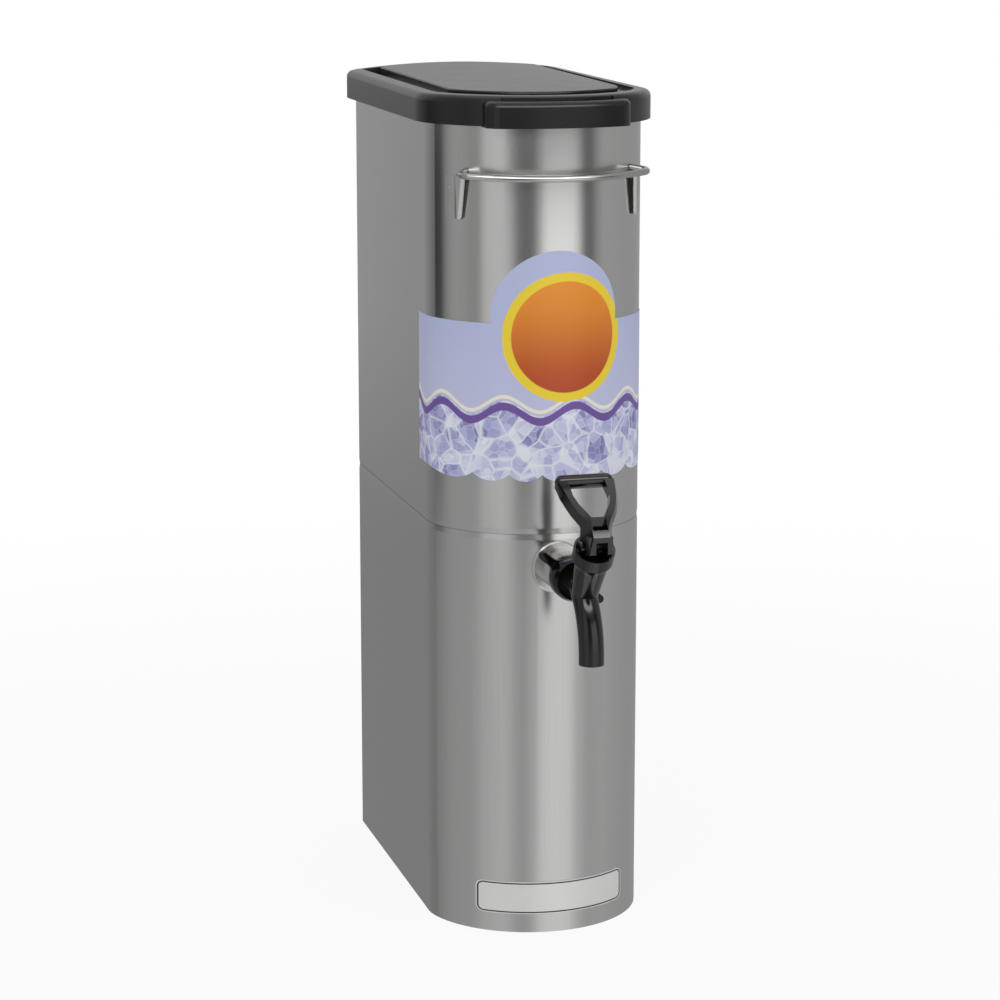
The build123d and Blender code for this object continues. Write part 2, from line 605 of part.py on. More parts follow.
def make_tap_body():
    """Moulded tap body: leaning cup and chamber, level tail and curved spout, all bored through."""
    tail_start = SPIGOT_LENGTH + WASHER_THICK
    body = turned([
        (0, 0), (CUP_RADIUS, 0), (CUP_RADIUS, -CUP_DEPTH), (CHAMBER_TOP_RADIUS, -CUP_DEPTH - CUP_NECK),
        (CHAMBER_MID_RADIUS, -CHAMBER_LENGTH * 0.55),
        (CHAMBER_END_RADIUS, -CHAMBER_LENGTH + CHAMBER_END_STEP),
        (CHAMBER_END_RADIUS - CHAMBER_END_CHAMFER, -CHAMBER_LENGTH), (0, -CHAMBER_LENGTH)])
    body += spout_tube(SPOUT_RADIUS, SPOUT_START_ANGLE)
    chamber_reach = CUP_OUT - (CHAMBER_LENGTH - CHAMBER_BORE) * sin(LEAN)
    body += level_rod(SHANK_RADIUS, tail_start, chamber_reach)
    body += level_rod(TAIL_RADIUS, tail_start, NUT_FRONT + TAIL_PAST_NUT)
    body += level_rod(COLLAR_RADIUS, NUT_FRONT + RING_GAP * 10, NUT_FRONT + COLLAR_LENGTH)
    groove = level_rod(2 * TAIL_RADIUS, ring_start() - RING_GAP, ring_start() + RING_THICK + RING_GAP)
    groove -= level_rod(TAIL_RADIUS - RING_GROOVE, 0, CUP_OUT)
    body -= groove
    body -= turned([
        (0, 1), (CUP_BORE, 1), (CUP_BORE, 0), (CUP_FLOOR_RADIUS, -BONNET_SHELF), (BONNET_PLUG, -BONNET_SHELF),
        (BONNET_PLUG, -BONNET_END), (CHAMBER_BORE, -BONNET_END), (CHAMBER_BORE, -SEAT_TOP),
        (SEAT_BORE, -SEAT_TOP - (CHAMBER_BORE - SEAT_BORE)),
        (SEAT_BORE, -CHAMBER_LENGTH + CHAMBER_END_WALL), (0, -CHAMBER_LENGTH + CHAMBER_END_WALL)])
    body -= spout_tube(SPOUT_BORE, SPOUT_BORE_ANGLE)
    body -= spout_outlet_cut()
    body -= level_rod(TAIL_BORE, 0, NUT_FRONT + COLLAR_LENGTH)
    inlet_start = (0, FRONT - NUT_FRONT - COLLAR_LENGTH + 1, OUTLET_HEIGHT + 1)
    chamber_side = TAP.from_local_coords((0, 0, -SEAT_TOP + 2 * SEAT_BORE))
    inlet = Vector(chamber_side) - Vector(inlet_start)
    return body - extrude(Plane(origin=inlet_start, z_dir=inlet) * Circle(SEAT_BORE), inlet.length)


def spout_outlet_cut():
    """Bore that carries the spout's channel through its end face."""
    plane = Plane(origin=(0, FRONT - SPOUT_OUT, SPOUT_BEND_HEIGHT), z_dir=(0, 0, -1))
    return extrude(plane * Circle(SPOUT_BORE), 2 * (SPOUT_BEND_HEIGHT - SPOUT_END_HEIGHT))


def make_tap_bonnet():
    """Threaded bonnet in the cup, which guides the stem and holds the spring."""
    top = -BONNET_SHELF + BONNET_FLANGE
    return turned([
        (STEM_RADIUS + STEM_GAP, top), (CUP_FLOOR_RADIUS - HOLE_GAP, top), (CUP_FLOOR_RADIUS - HOLE_GAP, -BONNET_SHELF),
        (BONNET_PLUG - RING_GAP, -BONNET_SHELF), (BONNET_PLUG - RING_GAP, -BONNET_END),
        (SPRING_POCKET, -BONNET_END), (SPRING_POCKET, -SPRING_POCKET_TOP),
        (STEM_RADIUS + STEM_GAP, -SPRING_POCKET_TOP)])


def make_tap_stem():
    """Valve stem: pin eye, round rod, spring flange and the barb that holds the seat cup."""
    flange_low = -STEM_FLANGE_TOP - STEM_FLANGE_THICK
    barb_top = -STEM_LENGTH + BARB_LENGTH
    stem = turned([
        (0, 0), (STEM_RADIUS, 0), (STEM_RADIUS, -STEM_FLANGE_TOP), (STEM_FLANGE, -STEM_FLANGE_TOP),
        (STEM_FLANGE, flange_low), (STEM_RADIUS, flange_low), (STEM_RADIUS, barb_top),
        (BARB_RADIUS, barb_top), (STEM_RADIUS, -STEM_LENGTH), (0, -STEM_LENGTH)])
    eye = cross_rod(EYE_RADIUS, SLOT_HALF - EYE_SIDE_GAP, *PIVOT)
    return stem + eye - cross_rod(PIN_RADIUS + PIN_RUN, SLOT_HALF, *PIVOT)


def make_seat_cup():
    """Soft seat cup on the stem's barb, whose cone closes the outlet of the chamber."""
    top = -STEM_FLANGE_TOP - STEM_FLANGE_THICK
    barb_top = -STEM_LENGTH + BARB_LENGTH
    cone_top = -SEAT_TOP - (CHAMBER_BORE - SEAT_CUP_RADIUS) + SEAT_GAP
    cone_depth = SEAT_CUP_RADIUS - SEAT_BORE
    return turned([
        (STEM_RADIUS, top), (SEAT_CUP_RADIUS, top), (SEAT_CUP_RADIUS, cone_top),
        (SEAT_BORE, cone_top - cone_depth), (0, cone_top - cone_depth), (0, -STEM_LENGTH),
        (STEM_RADIUS, -STEM_LENGTH), (BARB_RADIUS, barb_top), (STEM_RADIUS, barb_top)])


def make_tap_spring():
    """Compression spring between the bonnet's pocket and the stem's flange."""
    height = STEM_FLANGE_TOP - SPRING_POCKET_TOP - 2 * SPRING_WIRE - 2 * RING_GAP
    coil = Helix(pitch=height / SPRING_TURNS, height=height, radius=SPRING_RADIUS)
    section = Plane(origin=coil @ 0, z_dir=coil % 0) * Circle(SPRING_WIRE)
    spring = sweep(section, path=coil, is_frenet=True)
    return TAP * (Pos(0, 0, -STEM_FLANGE_TOP + SPRING_WIRE + RING_GAP) * spring)


def make_pivot_pin():
    """Steel pin through the handle's barrel and the stem's eye."""
    return cross_rod(PIN_RADIUS, BARREL_HALF - 1.0, *PIVOT)


# Tap handle

def grip_plane(ahead=0.0):
    """Plane through the pivot and the grip bar, moved ahead of them by a distance."""
    length = sqrt(GRIP_BACK ** 2 + GRIP_UP ** 2)
    normal = (0, -GRIP_UP / length, GRIP_BACK / length)
    origin = (0, PIVOT[0] + normal[1] * ahead, PIVOT[1] + normal[2] * ahead)
    return Plane(origin=origin, x_dir=(1, 0, 0), z_dir=normal)


def handle_section(ahead):
    """Front outline of the handle in one of its planes, wider towards the rear by its flare."""
    narrow = FLARE * (ahead - ARM_BULGE + ARM_THICK / 2)
    top = sqrt(GRIP_BACK ** 2 + GRIP_UP ** 2) - GRIP_RADIUS / 4
    right = [
        (ROOT_HALF - narrow, -2 * FACE_OUT), (ROOT_HALF - narrow, ROOT_UP), (WAIST_HALF - narrow, WAIST_UP),
        (SHOULDER_HALF - narrow, SHOULDER_UP), (GRIP_END_HALF - narrow, top)]
    left = [(-x, y) for x, y in reversed(right)]
    edges = [
        Line(right[0], right[1]),
        Spline(*right[1:], tangents=((0, 1), (0, 1))),
        Line(right[-1], left[0]),
        Spline(*left[:-1], tangents=((0, -1), (0, -1))),
        Line(left[-2], left[-1]),
        Line(left[-1], right[0]),
    ]
    return grip_plane(ahead) * make_face(Wire(edges))


def handle_side():
    """Side view of the handle: upright front face, curved arms and the cut-back lower edge."""
    y, z = PIVOT
    grip_y = y + GRIP_BACK
    grip_z = z + GRIP_UP
    at = lambda back, up: (-GRIP_HALF, y + back, z + up)
    face_top = at(-FACE_OUT, FACE_ABOVE)
    bar_front = at(GRIP_BACK - GRIP_RADIUS * 0.72, GRIP_UP + GRIP_RADIUS * 0.52)
    front_middle = at(-ARM_AHEAD, ARM_MIDDLE_UP)
    bar_back = at(GRIP_BACK + GRIP_RADIUS * 0.3, GRIP_UP - GRIP_RADIUS * 0.8)
    side_low = at(-SIDE_BEHIND, SIDE_BELOW)
    side_top = at(-SIDE_BEHIND, ARM_BULGE)
    back_middle = at(ARM_BEHIND, ARM_MIDDLE_UP + ARM_AHEAD / 2)
    post_back = at(FACE_THICK - FACE_OUT, -FACE_BELOW)
    low_middle = at(-FACE_OUT * 0.56, SIDE_BELOW * 0.75)
    edges = [
        Line(at(-FACE_OUT, -FACE_BELOW), face_top),
        ThreePointArc(face_top, front_middle, bar_front),
        Line(bar_front, bar_back),
        ThreePointArc(bar_back, back_middle, side_top),
        Line(side_top, side_low),
        ThreePointArc(side_low, low_middle, post_back),
        Line(post_back, at(-FACE_OUT, -FACE_BELOW)),
    ]
    return extrude(make_face(Wire(edges)), amount=2 * GRIP_HALF, dir=(1, 0, 0))


def handle_window():
    """Window between the arms, open past the grip bar, with rounded corners, through the whole ring."""
    top = sqrt(GRIP_BACK ** 2 + GRIP_UP ** 2) + 2 * GRIP_RADIUS
    face = make_face(Polyline(
        (-WINDOW_LOW_HALF, WINDOW_LOW_UP), (WINDOW_LOW_HALF, WINDOW_LOW_UP), (WINDOW_MID_HALF, WINDOW_MID_UP),
        (WINDOW_TOP_HALF, SHOULDER_UP), (WINDOW_TOP_HALF, top), (-WINDOW_TOP_HALF, top),
        (-WINDOW_TOP_HALF, SHOULDER_UP), (-WINDOW_MID_HALF, WINDOW_MID_UP), close=True))
    face = fillet(face.vertices(), WINDOW_ROUND)
    return extrude(grip_plane() * face, 2 * FACE_OUT, both=True)


def handle_cheeks():
    """Two cheeks in the cup that carry the pin and end in a cam corner over the bonnet."""
    axis_y, axis_z = -sin(LEAN), cos(LEAN)
    at = lambda out, up: (PIVOT[0] - out * axis_z + up * axis_y, PIVOT[1] + out * axis_y + up * axis_z)
    top = PIVOT[1] + FACE_ABOVE
    return side_profile([
        (PIVOT[0] - FACE_OUT + FACE_THICK / 2, PIVOT[1] - FACE_BELOW), at(CAM_OUT + CAM_BACK, 0), at(CAM_OUT, -CAM_DEPTH),
        at(-CAM_BACK, -CAM_DEPTH), (PIVOT[0] + BARREL_RADIUS, PIVOT[1]), (PIVOT[0] - SIDE_BEHIND, top),
        (PIVOT[0] - FACE_OUT + FACE_THICK / 2, top)], FACE_HALF)


def make_tap_handle():
    """Lever handle: ring with a round grip bar, flared root, window in its face and cheeks for the pin."""
    pivot_y, pivot_z = PIVOT
    body = loft([handle_section(-FACE_OUT), handle_section(2 * FACE_OUT)], ruled=True) & handle_side()
    body -= handle_window()
    pocket_y = pivot_y - FACE_OUT + FACE_THICK + POCKET_THICK / 2
    pocket = Pos(0, pocket_y, pivot_z + FACE_ABOVE - BARREL_RADIUS / 2) * Box(
        2 * POCKET_HALF, POCKET_THICK, GRIP_UP, align=(Align.CENTER, Align.CENTER, Align.MIN))
    body -= pocket
    body += handle_cheeks() + cross_rod(BARREL_RADIUS, BARREL_HALF, pivot_y, pivot_z)
    grip = cross_rod(GRIP_RADIUS, GRIP_HALF - GRIP_RADIUS, pivot_y + GRIP_BACK, pivot_z + GRIP_UP)
    for side in (-1, 1):
        grip += Pos(side * (GRIP_HALF - GRIP_RADIUS), pivot_y + GRIP_BACK, pivot_z + GRIP_UP) * Sphere(GRIP_RADIUS)
    body += grip
    front = pivot_y - 2 * FACE_OUT
    slot = side_profile([
        (front, pivot_z - 4 * BARREL_RADIUS), (front, pivot_z + SLOT_ABOVE),
        (pivot_y + EYE_RADIUS, pivot_z + SLOT_ABOVE), (pivot_y + 2 * BARREL_RADIUS, pivot_z),
        (pivot_y + 2 * BARREL_RADIUS, pivot_z - 4 * BARREL_RADIUS)], SLOT_HALF)
    body -= slot
    return body - cross_rod(PIN_RADIUS, BARREL_HALF - 1.0, pivot_y, pivot_z)


PARTS = {
    "base_skirt": make_base_skirt,
    "tank_shell": make_tank_shell,
    "tank_floor": make_tank_floor,
    "outlet_spigot": make_outlet_spigot,
    "lid": make_lid,
    "handle_rod": make_handle_rod,
    "bracket_left": lambda: make_bracket(-1),
    "bracket_right": lambda: make_bracket(1),
    "front_label": make_front_label,
    "nameplate": make_nameplate,
    "outlet_washer": make_outlet_washer,
    "retaining_ring": make_retaining_ring,
    "wing_nut": make_wing_nut,
    "tap_body": make_tap_body,
    "tap_bonnet": make_tap_bonnet,
    "tap_stem": make_tap_stem,
    "seat_cup": make_seat_cup,
    "tap_spring": make_tap_spring,
    "pivot_pin": make_pivot_pin,
    "tap_handle": make_tap_handle,
}

os.makedirs("parts", exist_ok=True)
for name, maker in PARTS.items():
    solid = maker()
    export_step(solid, "parts/" + name + ".step")
    print(name, round(solid.volume, 1))
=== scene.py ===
"""Looks for the iced tea dispenser: steel tank, black lid, printed band, carrying rod and lever tap.

Every size is in metres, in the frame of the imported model: the origin is the centre of the base,
the front faces -Y and +Z is up.
"""

import logging
import math
from dataclasses import dataclass
from enum import Enum

import bmesh
import bpy
from mathutils import Matrix, Vector


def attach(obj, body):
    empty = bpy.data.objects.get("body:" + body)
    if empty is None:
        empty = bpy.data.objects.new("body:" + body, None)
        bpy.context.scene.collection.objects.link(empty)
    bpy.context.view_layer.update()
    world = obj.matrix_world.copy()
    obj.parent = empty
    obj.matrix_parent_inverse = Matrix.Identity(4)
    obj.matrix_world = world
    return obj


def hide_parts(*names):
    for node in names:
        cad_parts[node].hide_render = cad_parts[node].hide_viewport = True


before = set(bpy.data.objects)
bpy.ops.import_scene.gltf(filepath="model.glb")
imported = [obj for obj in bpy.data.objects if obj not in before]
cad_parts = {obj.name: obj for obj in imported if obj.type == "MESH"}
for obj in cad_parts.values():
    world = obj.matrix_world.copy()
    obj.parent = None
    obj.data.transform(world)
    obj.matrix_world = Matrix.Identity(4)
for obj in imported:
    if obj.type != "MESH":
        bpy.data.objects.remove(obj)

logging.basicConfig(level=logging.INFO, format="%(message)s")
LOG = logging.getLogger("dispenser")

Colour = tuple[float, float, float, float]
Levels = tuple[tuple[float, float], ...]
Triple = tuple[float, float, float]
Socket = bpy.types.NodeSocket

# Middle and radius of the body's front arc
FRONT_CENTRE_Y = -0.070
FRONT_RADIUS = 0.082


class Body(Enum):
    """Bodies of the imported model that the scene's own pieces ride on."""

    TANK = "tank"
    LEVER = "lever"


# Node trees


class Graph:
    """A node tree with short calls for adding and joining nodes."""

    def __init__(self, tree: bpy.types.NodeTree) -> None:
        """Keeps the tree.

        Args:
            tree: The node tree to fill.
        """
        self.tree = tree

    def add(self, kind: str, **settings: object) -> bpy.types.Node:
        """Adds a node and sets its attributes.

        Args:
            kind: Blender's identifier of the node type.
            **settings: Attributes of the node to set.

        Returns:
            The new node.
        """
        node = self.tree.nodes.new(kind)
        for name, value in settings.items():
            setattr(node, name, value)
        return node

    def join(self, source: Socket, target: Socket) -> None:
        """Links an output to an input.

        Args:
            source: The output socket.
            target: The input socket.
        """
        self.tree.links.new(source, target)

    def feed(self, target: Socket, value: object) -> None:
        """Links a socket or sets a plain value.

        Args:
            target: The input socket to fill.
            value: A socket, a number, a vector or a colour.
        """
        if isinstance(value, bpy.types.NodeSocket):
            self.join(value, target)
        else:
            target.default_value = value

    def group(self, tree: bpy.types.NodeTree, **values: float) -> bpy.types.Node:
        """Places a shader group with its own values.

        Args:
            tree: The group's node tree.
            **values: The group's inputs by name.

        Returns:
            The group's node.
        """
        node = self.add("ShaderNodeGroup", node_tree=tree)
        for name, value in values.items():
            node.inputs[name].default_value = value
        return node

    def maths(self, operation: str, *values: object) -> Socket:
        """Adds a Math node.

        Args:
            operation: The operation's identifier.
            *values: Its inputs, as sockets or numbers.

        Returns:
            The result's socket.
        """
        node = self.add("ShaderNodeMath", operation=operation)
        for index, value in enumerate(values):
            self.feed(node.inputs[index], value)
        return node.outputs[0]

    def smooth(self, value: object, low: float, high: float) -> Socket:
        """Adds a smooth step from 0 at low to 1 at high.

        Args:
            value: The socket to read.
            low: Where the step starts.
            high: Where the step ends.

        Returns:
            The step's socket.
        """
        node = self.add("ShaderNodeMapRange", interpolation_type="SMOOTHSTEP")
        self.feed(node.inputs["Value"], value)
        node.inputs["From Min"].default_value = low
        node.inputs["From Max"].default_value = high
        return node.outputs["Result"]

    def within(self, value: object, middle: float, full: float, none: float) -> Socket:
        """Gives 1 close to a middle value, fading to 0 away from it.

        Args:
            value: The socket to read.
            middle: The middle value.
            full: Distance up to which the result is 1.
            none: Distance from which the result is 0.

        Returns:
            The band's socket.
        """
        away = self.maths("ABSOLUTE", self.maths("SUBTRACT", value, middle))
        return self.smooth(away, none, full)

    def length(self, first: object, second: object) -> Socket:
        """Adds up two sides of a right angle to the length across.

        Args:
            first: The first side.
            second: The second side.

        Returns:
            The length's socket.
        """
        squares = self.maths("ADD", self.maths("POWER", first, 2.0), self.maths("POWER", second, 2.0))
        return self.maths("SQRT", squares)

    def mix(self, factor: object, first: object, second: object) -> Socket:
        """Adds a colour mix.

        Args:
            factor: Share of the second colour.
            first: The first colour or its socket.
            second: The second colour or its socket.

        Returns:
            The mixed colour's socket.
        """
        node = self.add("ShaderNodeMix", data_type="RGBA")
        self.feed(node.inputs["Factor"], factor)
        self.feed(node.inputs["A"], first)
        self.feed(node.inputs["B"], second)
        return node.outputs["Result"]

    def noise(self, vector: Socket, scale: object, detail: float = 2.0) -> Socket:
        """Adds a noise texture.

        Args:
            vector: The coordinates' socket.
            scale: Its scale, in cells a metre.
            detail: Its detail.

        Returns:
            The noise's socket, from 0 to 1.
        """
        node = self.add("ShaderNodeTexNoise")
        self.join(vector, node.inputs["Vector"])
        self.feed(node.inputs["Scale"], scale)
        node.inputs["Detail"].default_value = detail
        return node.outputs["Fac"]

    def here(self) -> Socket:
        """Gives the object coordinates."""
        return self.add("ShaderNodeTexCoord").outputs["Object"]

    def drawn_out(self, upright: float) -> Socket:
        """Gives object coordinates scaled along Z, so that a small scale draws a pattern out upright.

        Args:
            upright: Scale along Z.

        Returns:
            The coordinates' socket.
        """
        mapping = self.add("ShaderNodeMapping")
        self.join(self.here(), mapping.inputs["Vector"])
        mapping.inputs["Scale"].default_value = (1.0, 1.0, upright)
        return mapping.outputs["Vector"]

    def split(self, vector: Socket) -> bpy.types.Node:
        """Splits a vector.

        Args:
            vector: The vector's socket.

        Returns:
            The node with outputs X, Y and Z.
        """
        node = self.add("ShaderNodeSeparateXYZ")
        self.join(vector, node.inputs["Vector"])
        return node


def group_graph(name: str, inputs: tuple[str, ...], outputs: tuple[str, ...]) -> Graph:
    """Starts a shader group with number sockets.

    Args:
        name: The group's name.
        inputs: Names of its inputs.
        outputs: Names of its outputs.

    Returns:
        The graph of the new group.
    """
    tree = bpy.data.node_groups.new(name, "ShaderNodeTree")
    for way, names in (("INPUT", inputs), ("OUTPUT", outputs)):
        for one in names:
            tree.interface.new_socket(one, in_out=way, socket_type="NodeSocketFloat")
    return Graph(tree)


@dataclass(frozen=True)
class BrushLines:
    """Shader group of the brushed grain: long streaks as a height and wide bands in the roughness."""

    name: str = "brush_lines"
    streak_scale: float = 2600.0
    streak_upright: float = 0.012
    band_scale: float = 60.0
    band_upright: float = 0.05

    def tree(self) -> bpy.types.NodeTree:
        """Gives the group, and builds it when it is first asked for.

        Returns:
            The group's tree, with inputs Roughness and Spread and outputs Height and Surface.
        """
        made = bpy.data.node_groups.get(self.name)
        if made:
            return made
        graph = group_graph(self.name, ("Roughness", "Spread"), ("Height", "Surface"))
        source = graph.add("NodeGroupInput")
        sink = graph.add("NodeGroupOutput")
        streaks = graph.noise(graph.drawn_out(self.streak_upright), self.streak_scale)
        bands = graph.noise(graph.drawn_out(self.band_upright), self.band_scale)
        change = graph.maths("MULTIPLY", graph.maths("SUBTRACT", bands, 0.5), source.outputs["Spread"])
        graph.join(graph.maths("ADD", change, source.outputs["Roughness"]), sink.inputs["Surface"])
        graph.join(streaks, sink.inputs["Height"])
        return graph.tree


@dataclass(frozen=True)
class HandlingMarks:
    """Shader group of faint smears in the roughness and a fine grain as a height."""

    name: str = "handling_marks"
    smear_scale: float = 45.0
    smear_detail: float = 4.0

    def tree(self) -> bpy.types.NodeTree:
        """Gives the group, and builds it when it is first asked for.

        Returns:
            The group's tree, with inputs Roughness, Amount and Grain and outputs Surface and Height.
        """
        made = bpy.data.node_groups.get(self.name)
        if made:
            return made
        graph = group_graph(self.name, ("Roughness", "Amount", "Grain"), ("Surface", "Height"))
        source = graph.add("NodeGroupInput")
        sink = graph.add("NodeGroupOutput")
        smear = graph.noise(graph.here(), self.smear_scale, self.smear_detail)
        change = graph.maths("MULTIPLY", graph.maths("SUBTRACT", smear, 0.5), source.outputs["Amount"])
        graph.join(graph.maths("ADD", change, source.outputs["Roughness"]), sink.inputs["Surface"])
        graph.join(graph.noise(graph.here(), source.outputs["Grain"]), sink.inputs["Height"])
        return graph.tree


def start_material(name: str) -> tuple[bpy.types.Material, Graph, bpy.types.Node]:
    """Makes a material with a Principled shader.

    Args:
        name: The material's name.

    Returns:
        The material, its graph and its shader node.
    """
    material = bpy.data.materials.new(name)
    material.use_nodes = True
    return material, Graph(material.node_tree), material.node_tree.nodes["Principled BSDF"]


def shaded(colour: Colour, share: float) -> Colour:
    """Makes a colour darker or lighter.

    Args:
        colour: The colour.
        share: What its channels are multiplied by.

    Returns:
        The new colour, with the same alpha.
    """
    return (colour[0] * share, colour[1] * share, colour[2] * share, colour[3])


def add_bump(graph: Graph, shader: bpy.types.Node, height: Socket, depth: float) -> None:
    """Feeds a height through a Bump node to the shader's normal.

    Args:
        graph: The material's graph.
        shader: The shader that takes the normal.
        height: The height's socket.
        depth: Depth of the relief in metres.
    """
    bump = graph.add("ShaderNodeBump")
    bump.inputs["Strength"].default_value = 1.0
    bump.inputs["Distance"].default_value = depth
    graph.join(height, bump.inputs["Height"])
    graph.join(bump.outputs["Normal"], shader.inputs["Normal"])


def seen_directly(graph: Graph) -> Socket:
    """Gives 1 for rays from the camera, off a gloss or through glass.

    Args:
        graph: The graph to add to.

    Returns:
        The mask's socket.
    """
    path = graph.add("ShaderNodeLightPath")
    seen = graph.maths("MAXIMUM", path.outputs["Is Camera Ray"], path.outputs["Is Glossy Ray"])
    return graph.maths("MAXIMUM", seen, path.outputs["Is Transmission Ray"])


# Finishes


@dataclass(frozen=True)
class BrushedSteel:
    """Stainless sheet with a fine upright grain, duller on the faces inside the tank."""

    name: str
    colour: Colour = (0.60, 0.595, 0.59, 1.0)
    roughness: float = 0.22
    spread: float = 0.04
    stretch: float = 0.3
    stretch_turn: float = 0.25
    depth: float = 0.000001
    metal: float = 1.0
    tone_scale: float = 700.0
    tone_upright: float = 0.02
    tone_share: float = 0.93
    inside_colour: Colour = (0.80, 0.795, 0.79, 1.0)
    inside_blur: float = 0.2
    inside_loss: float = 0.5
    inside_start: float = 0.01
    inside_full: float = 0.04

    def inward(self, graph: Graph) -> Socket:
        """Finds the faces that look towards the tank's middle line.

        Args:
            graph: The material's graph.

        Returns:
            A socket that is 1 inside the tank and 0 outside it.
        """
        place = graph.split(graph.here())
        facing = graph.split(graph.add("ShaderNodeTexCoord").outputs["Normal"])
        across = graph.maths("MULTIPLY", place.outputs["X"], facing.outputs["X"])
        along = graph.maths("MULTIPLY", place.outputs["Y"], facing.outputs["Y"])
        outward = graph.maths("ADD", across, along)
        return graph.smooth(graph.maths("MULTIPLY", outward, -1.0), self.inside_start, self.inside_full)

    def material(self) -> bpy.types.Material:
        """Makes the material.

        Returns:
            The finished material.
        """
        material, graph, shader = start_material(self.name)
        grain = graph.group(BrushLines().tree(), Roughness=self.roughness, Spread=self.spread)
        inside = self.inward(graph)
        metal = graph.maths("SUBTRACT", self.metal, graph.maths("MULTIPLY", inside, self.inside_loss))
        graph.join(metal, shader.inputs["Metallic"])
        shader.inputs["Anisotropic"].default_value = self.stretch
        shader.inputs["Anisotropic Rotation"].default_value = self.stretch_turn
        around = graph.add("ShaderNodeTangent", direction_type="RADIAL", axis="Z")
        graph.join(around.outputs["Tangent"], shader.inputs["Tangent"])
        tone = graph.noise(graph.drawn_out(self.tone_upright), self.tone_scale)
        sheet = graph.mix(tone, self.colour, shaded(self.colour, self.tone_share))
        graph.join(graph.mix(inside, sheet, self.inside_colour), shader.inputs["Base Color"])
        blur = graph.maths("MULTIPLY", inside, self.inside_blur)
        graph.join(graph.maths("ADD", grain.outputs["Surface"], blur), shader.inputs["Roughness"])
        add_bump(graph, shader, grain.outputs["Height"], self.depth)
        return material


@dataclass(frozen=True)
class BracketWithPaintedHighlight:
    """Brushed sheet with a painted highlight on its raised front edge: a paler colour there, and more
    roughness.
    """

    name: str = "bracket_steel_painted_highlight_finish"
    colour: Colour = (0.58, 0.575, 0.57, 1.0)
    # Paler colour of the painted highlight on the raised front edge
    painted_highlight_colour: Colour = (0.90, 0.895, 0.88, 1.0)
    roughness: float = 0.3
    spread: float = 0.04
    edge_blur: float = 0.2
    depth: float = 0.000001
    foot_height: float = 0.527
    # Degrees at the bracket's foot, and the edge's climb in radians a metre above it
    edge_angle: float = 38.4
    edge_fade: float = 0.3
    edge_rise: float = 1.68

    def material(self) -> bpy.types.Material:
        """Makes the material.

        Returns:
            The finished material.
        """
        material, graph, shader = start_material(self.name)
        grain = graph.group(BrushLines().tree(), Roughness=self.roughness, Spread=self.spread)
        # The edge mask below marks where the painted highlight goes: a paler colour and more roughness on
        # the raised front edge.
        place = graph.split(graph.here())
        ahead = graph.maths("SUBTRACT", FRONT_CENTRE_Y, place.outputs["Y"])
        angle = graph.maths("ARCTAN2", ahead, graph.maths("ABSOLUTE", place.outputs["X"]))
        above_foot = graph.maths("SUBTRACT", place.outputs["Z"], self.foot_height)
        slanted = graph.maths("SUBTRACT", angle, graph.maths("MULTIPLY", above_foot, self.edge_rise))
        start = math.radians(self.edge_angle - self.edge_fade)
        edge = graph.smooth(slanted, start, math.radians(self.edge_angle + self.edge_fade))
        shader.inputs["Metallic"].default_value = 1.0
        graph.join(graph.mix(edge, self.colour, self.painted_highlight_colour), shader.inputs["Base Color"])
        blur = graph.maths("MULTIPLY", edge, self.edge_blur)
        graph.join(graph.maths("ADD", grain.outputs["Surface"], blur), shader.inputs["Roughness"])
        add_bump(graph, shader, grain.outputs["Height"], self.depth)
        return material


@dataclass(frozen=True)
class PolishedMetal:
    """Smooth polished metal with faint handling marks."""

    name: str
    colour: Colour = (0.72, 0.715, 0.70, 1.0)
    roughness: float = 0.12
    amount: float = 0.08
    grain: float = 900.0
    depth: float = 0.000004

    def material(self) -> bpy.types.Material:
        """Makes the material.

        Returns:
            The finished material.
        """
        material, graph, shader = start_material(self.name)
        marks = graph.group(
            HandlingMarks().tree(), Roughness=self.roughness, Amount=self.amount, Grain=self.grain)
        shader.inputs["Base Color"].default_value = self.colour
        shader.inputs["Metallic"].default_value = 1.0
        graph.join(marks.outputs["Surface"], shader.inputs["Roughness"])
        add_bump(graph, shader, marks.outputs["Height"], self.depth)
        return material


@dataclass(frozen=True)
class MouldedPlastic:
    """Moulded black plastic, from spark-textured to glossy."""

    name: str
    colour: Colour = (0.003, 0.003, 0.0033, 1.0)
    roughness: float = 0.3
    shine: float = 0.32
    amount: float = 0.05
    grain: float = 1400.0
    depth: float = 0.000004
    shade_scale: float = 30.0
    shade_share: float = 1.35

    def material(self) -> bpy.types.Material:
        """Makes the material.

        Returns:
            The finished material.
        """
        material, graph, shader = start_material(self.name)
        marks = graph.group(
            HandlingMarks().tree(), Roughness=self.roughness, Amount=self.amount, Grain=self.grain)
        shade = graph.noise(graph.here(), self.shade_scale)
        tone = graph.mix(shade, self.colour, shaded(self.colour, self.shade_share))
        graph.join(tone, shader.inputs["Base Color"])
        shader.inputs["Specular IOR Level"].default_value = self.shine
        graph.join(marks.outputs["Surface"], shader.inputs["Roughness"])
        add_bump(graph, shader, marks.outputs["Height"], self.depth)
        return material


@dataclass(frozen=True)
class SoftRubber:
    """Matt black rubber of the seals."""

    name: str = "seal_rubber_finish"
    colour: Colour = (0.03, 0.03, 0.03, 1.0)
    bloom_colour: Colour = (0.05, 0.05, 0.05, 1.0)
    bloom_scale: float = 300.0
    bloom_detail: float = 3.0
    roughness: float = 0.75
    depth: float = 0.00002

    def material(self) -> bpy.types.Material:
        """Makes the material.

        Returns:
            The finished material.
        """
        material, graph, shader = start_material(self.name)
        bloom = graph.noise(graph.here(), self.bloom_scale, self.bloom_detail)
        graph.join(graph.mix(bloom, self.colour, self.bloom_colour), shader.inputs["Base Color"])
        shader.inputs["Roughness"].default_value = self.roughness
        add_bump(graph, shader, bloom, self.depth)
        return material


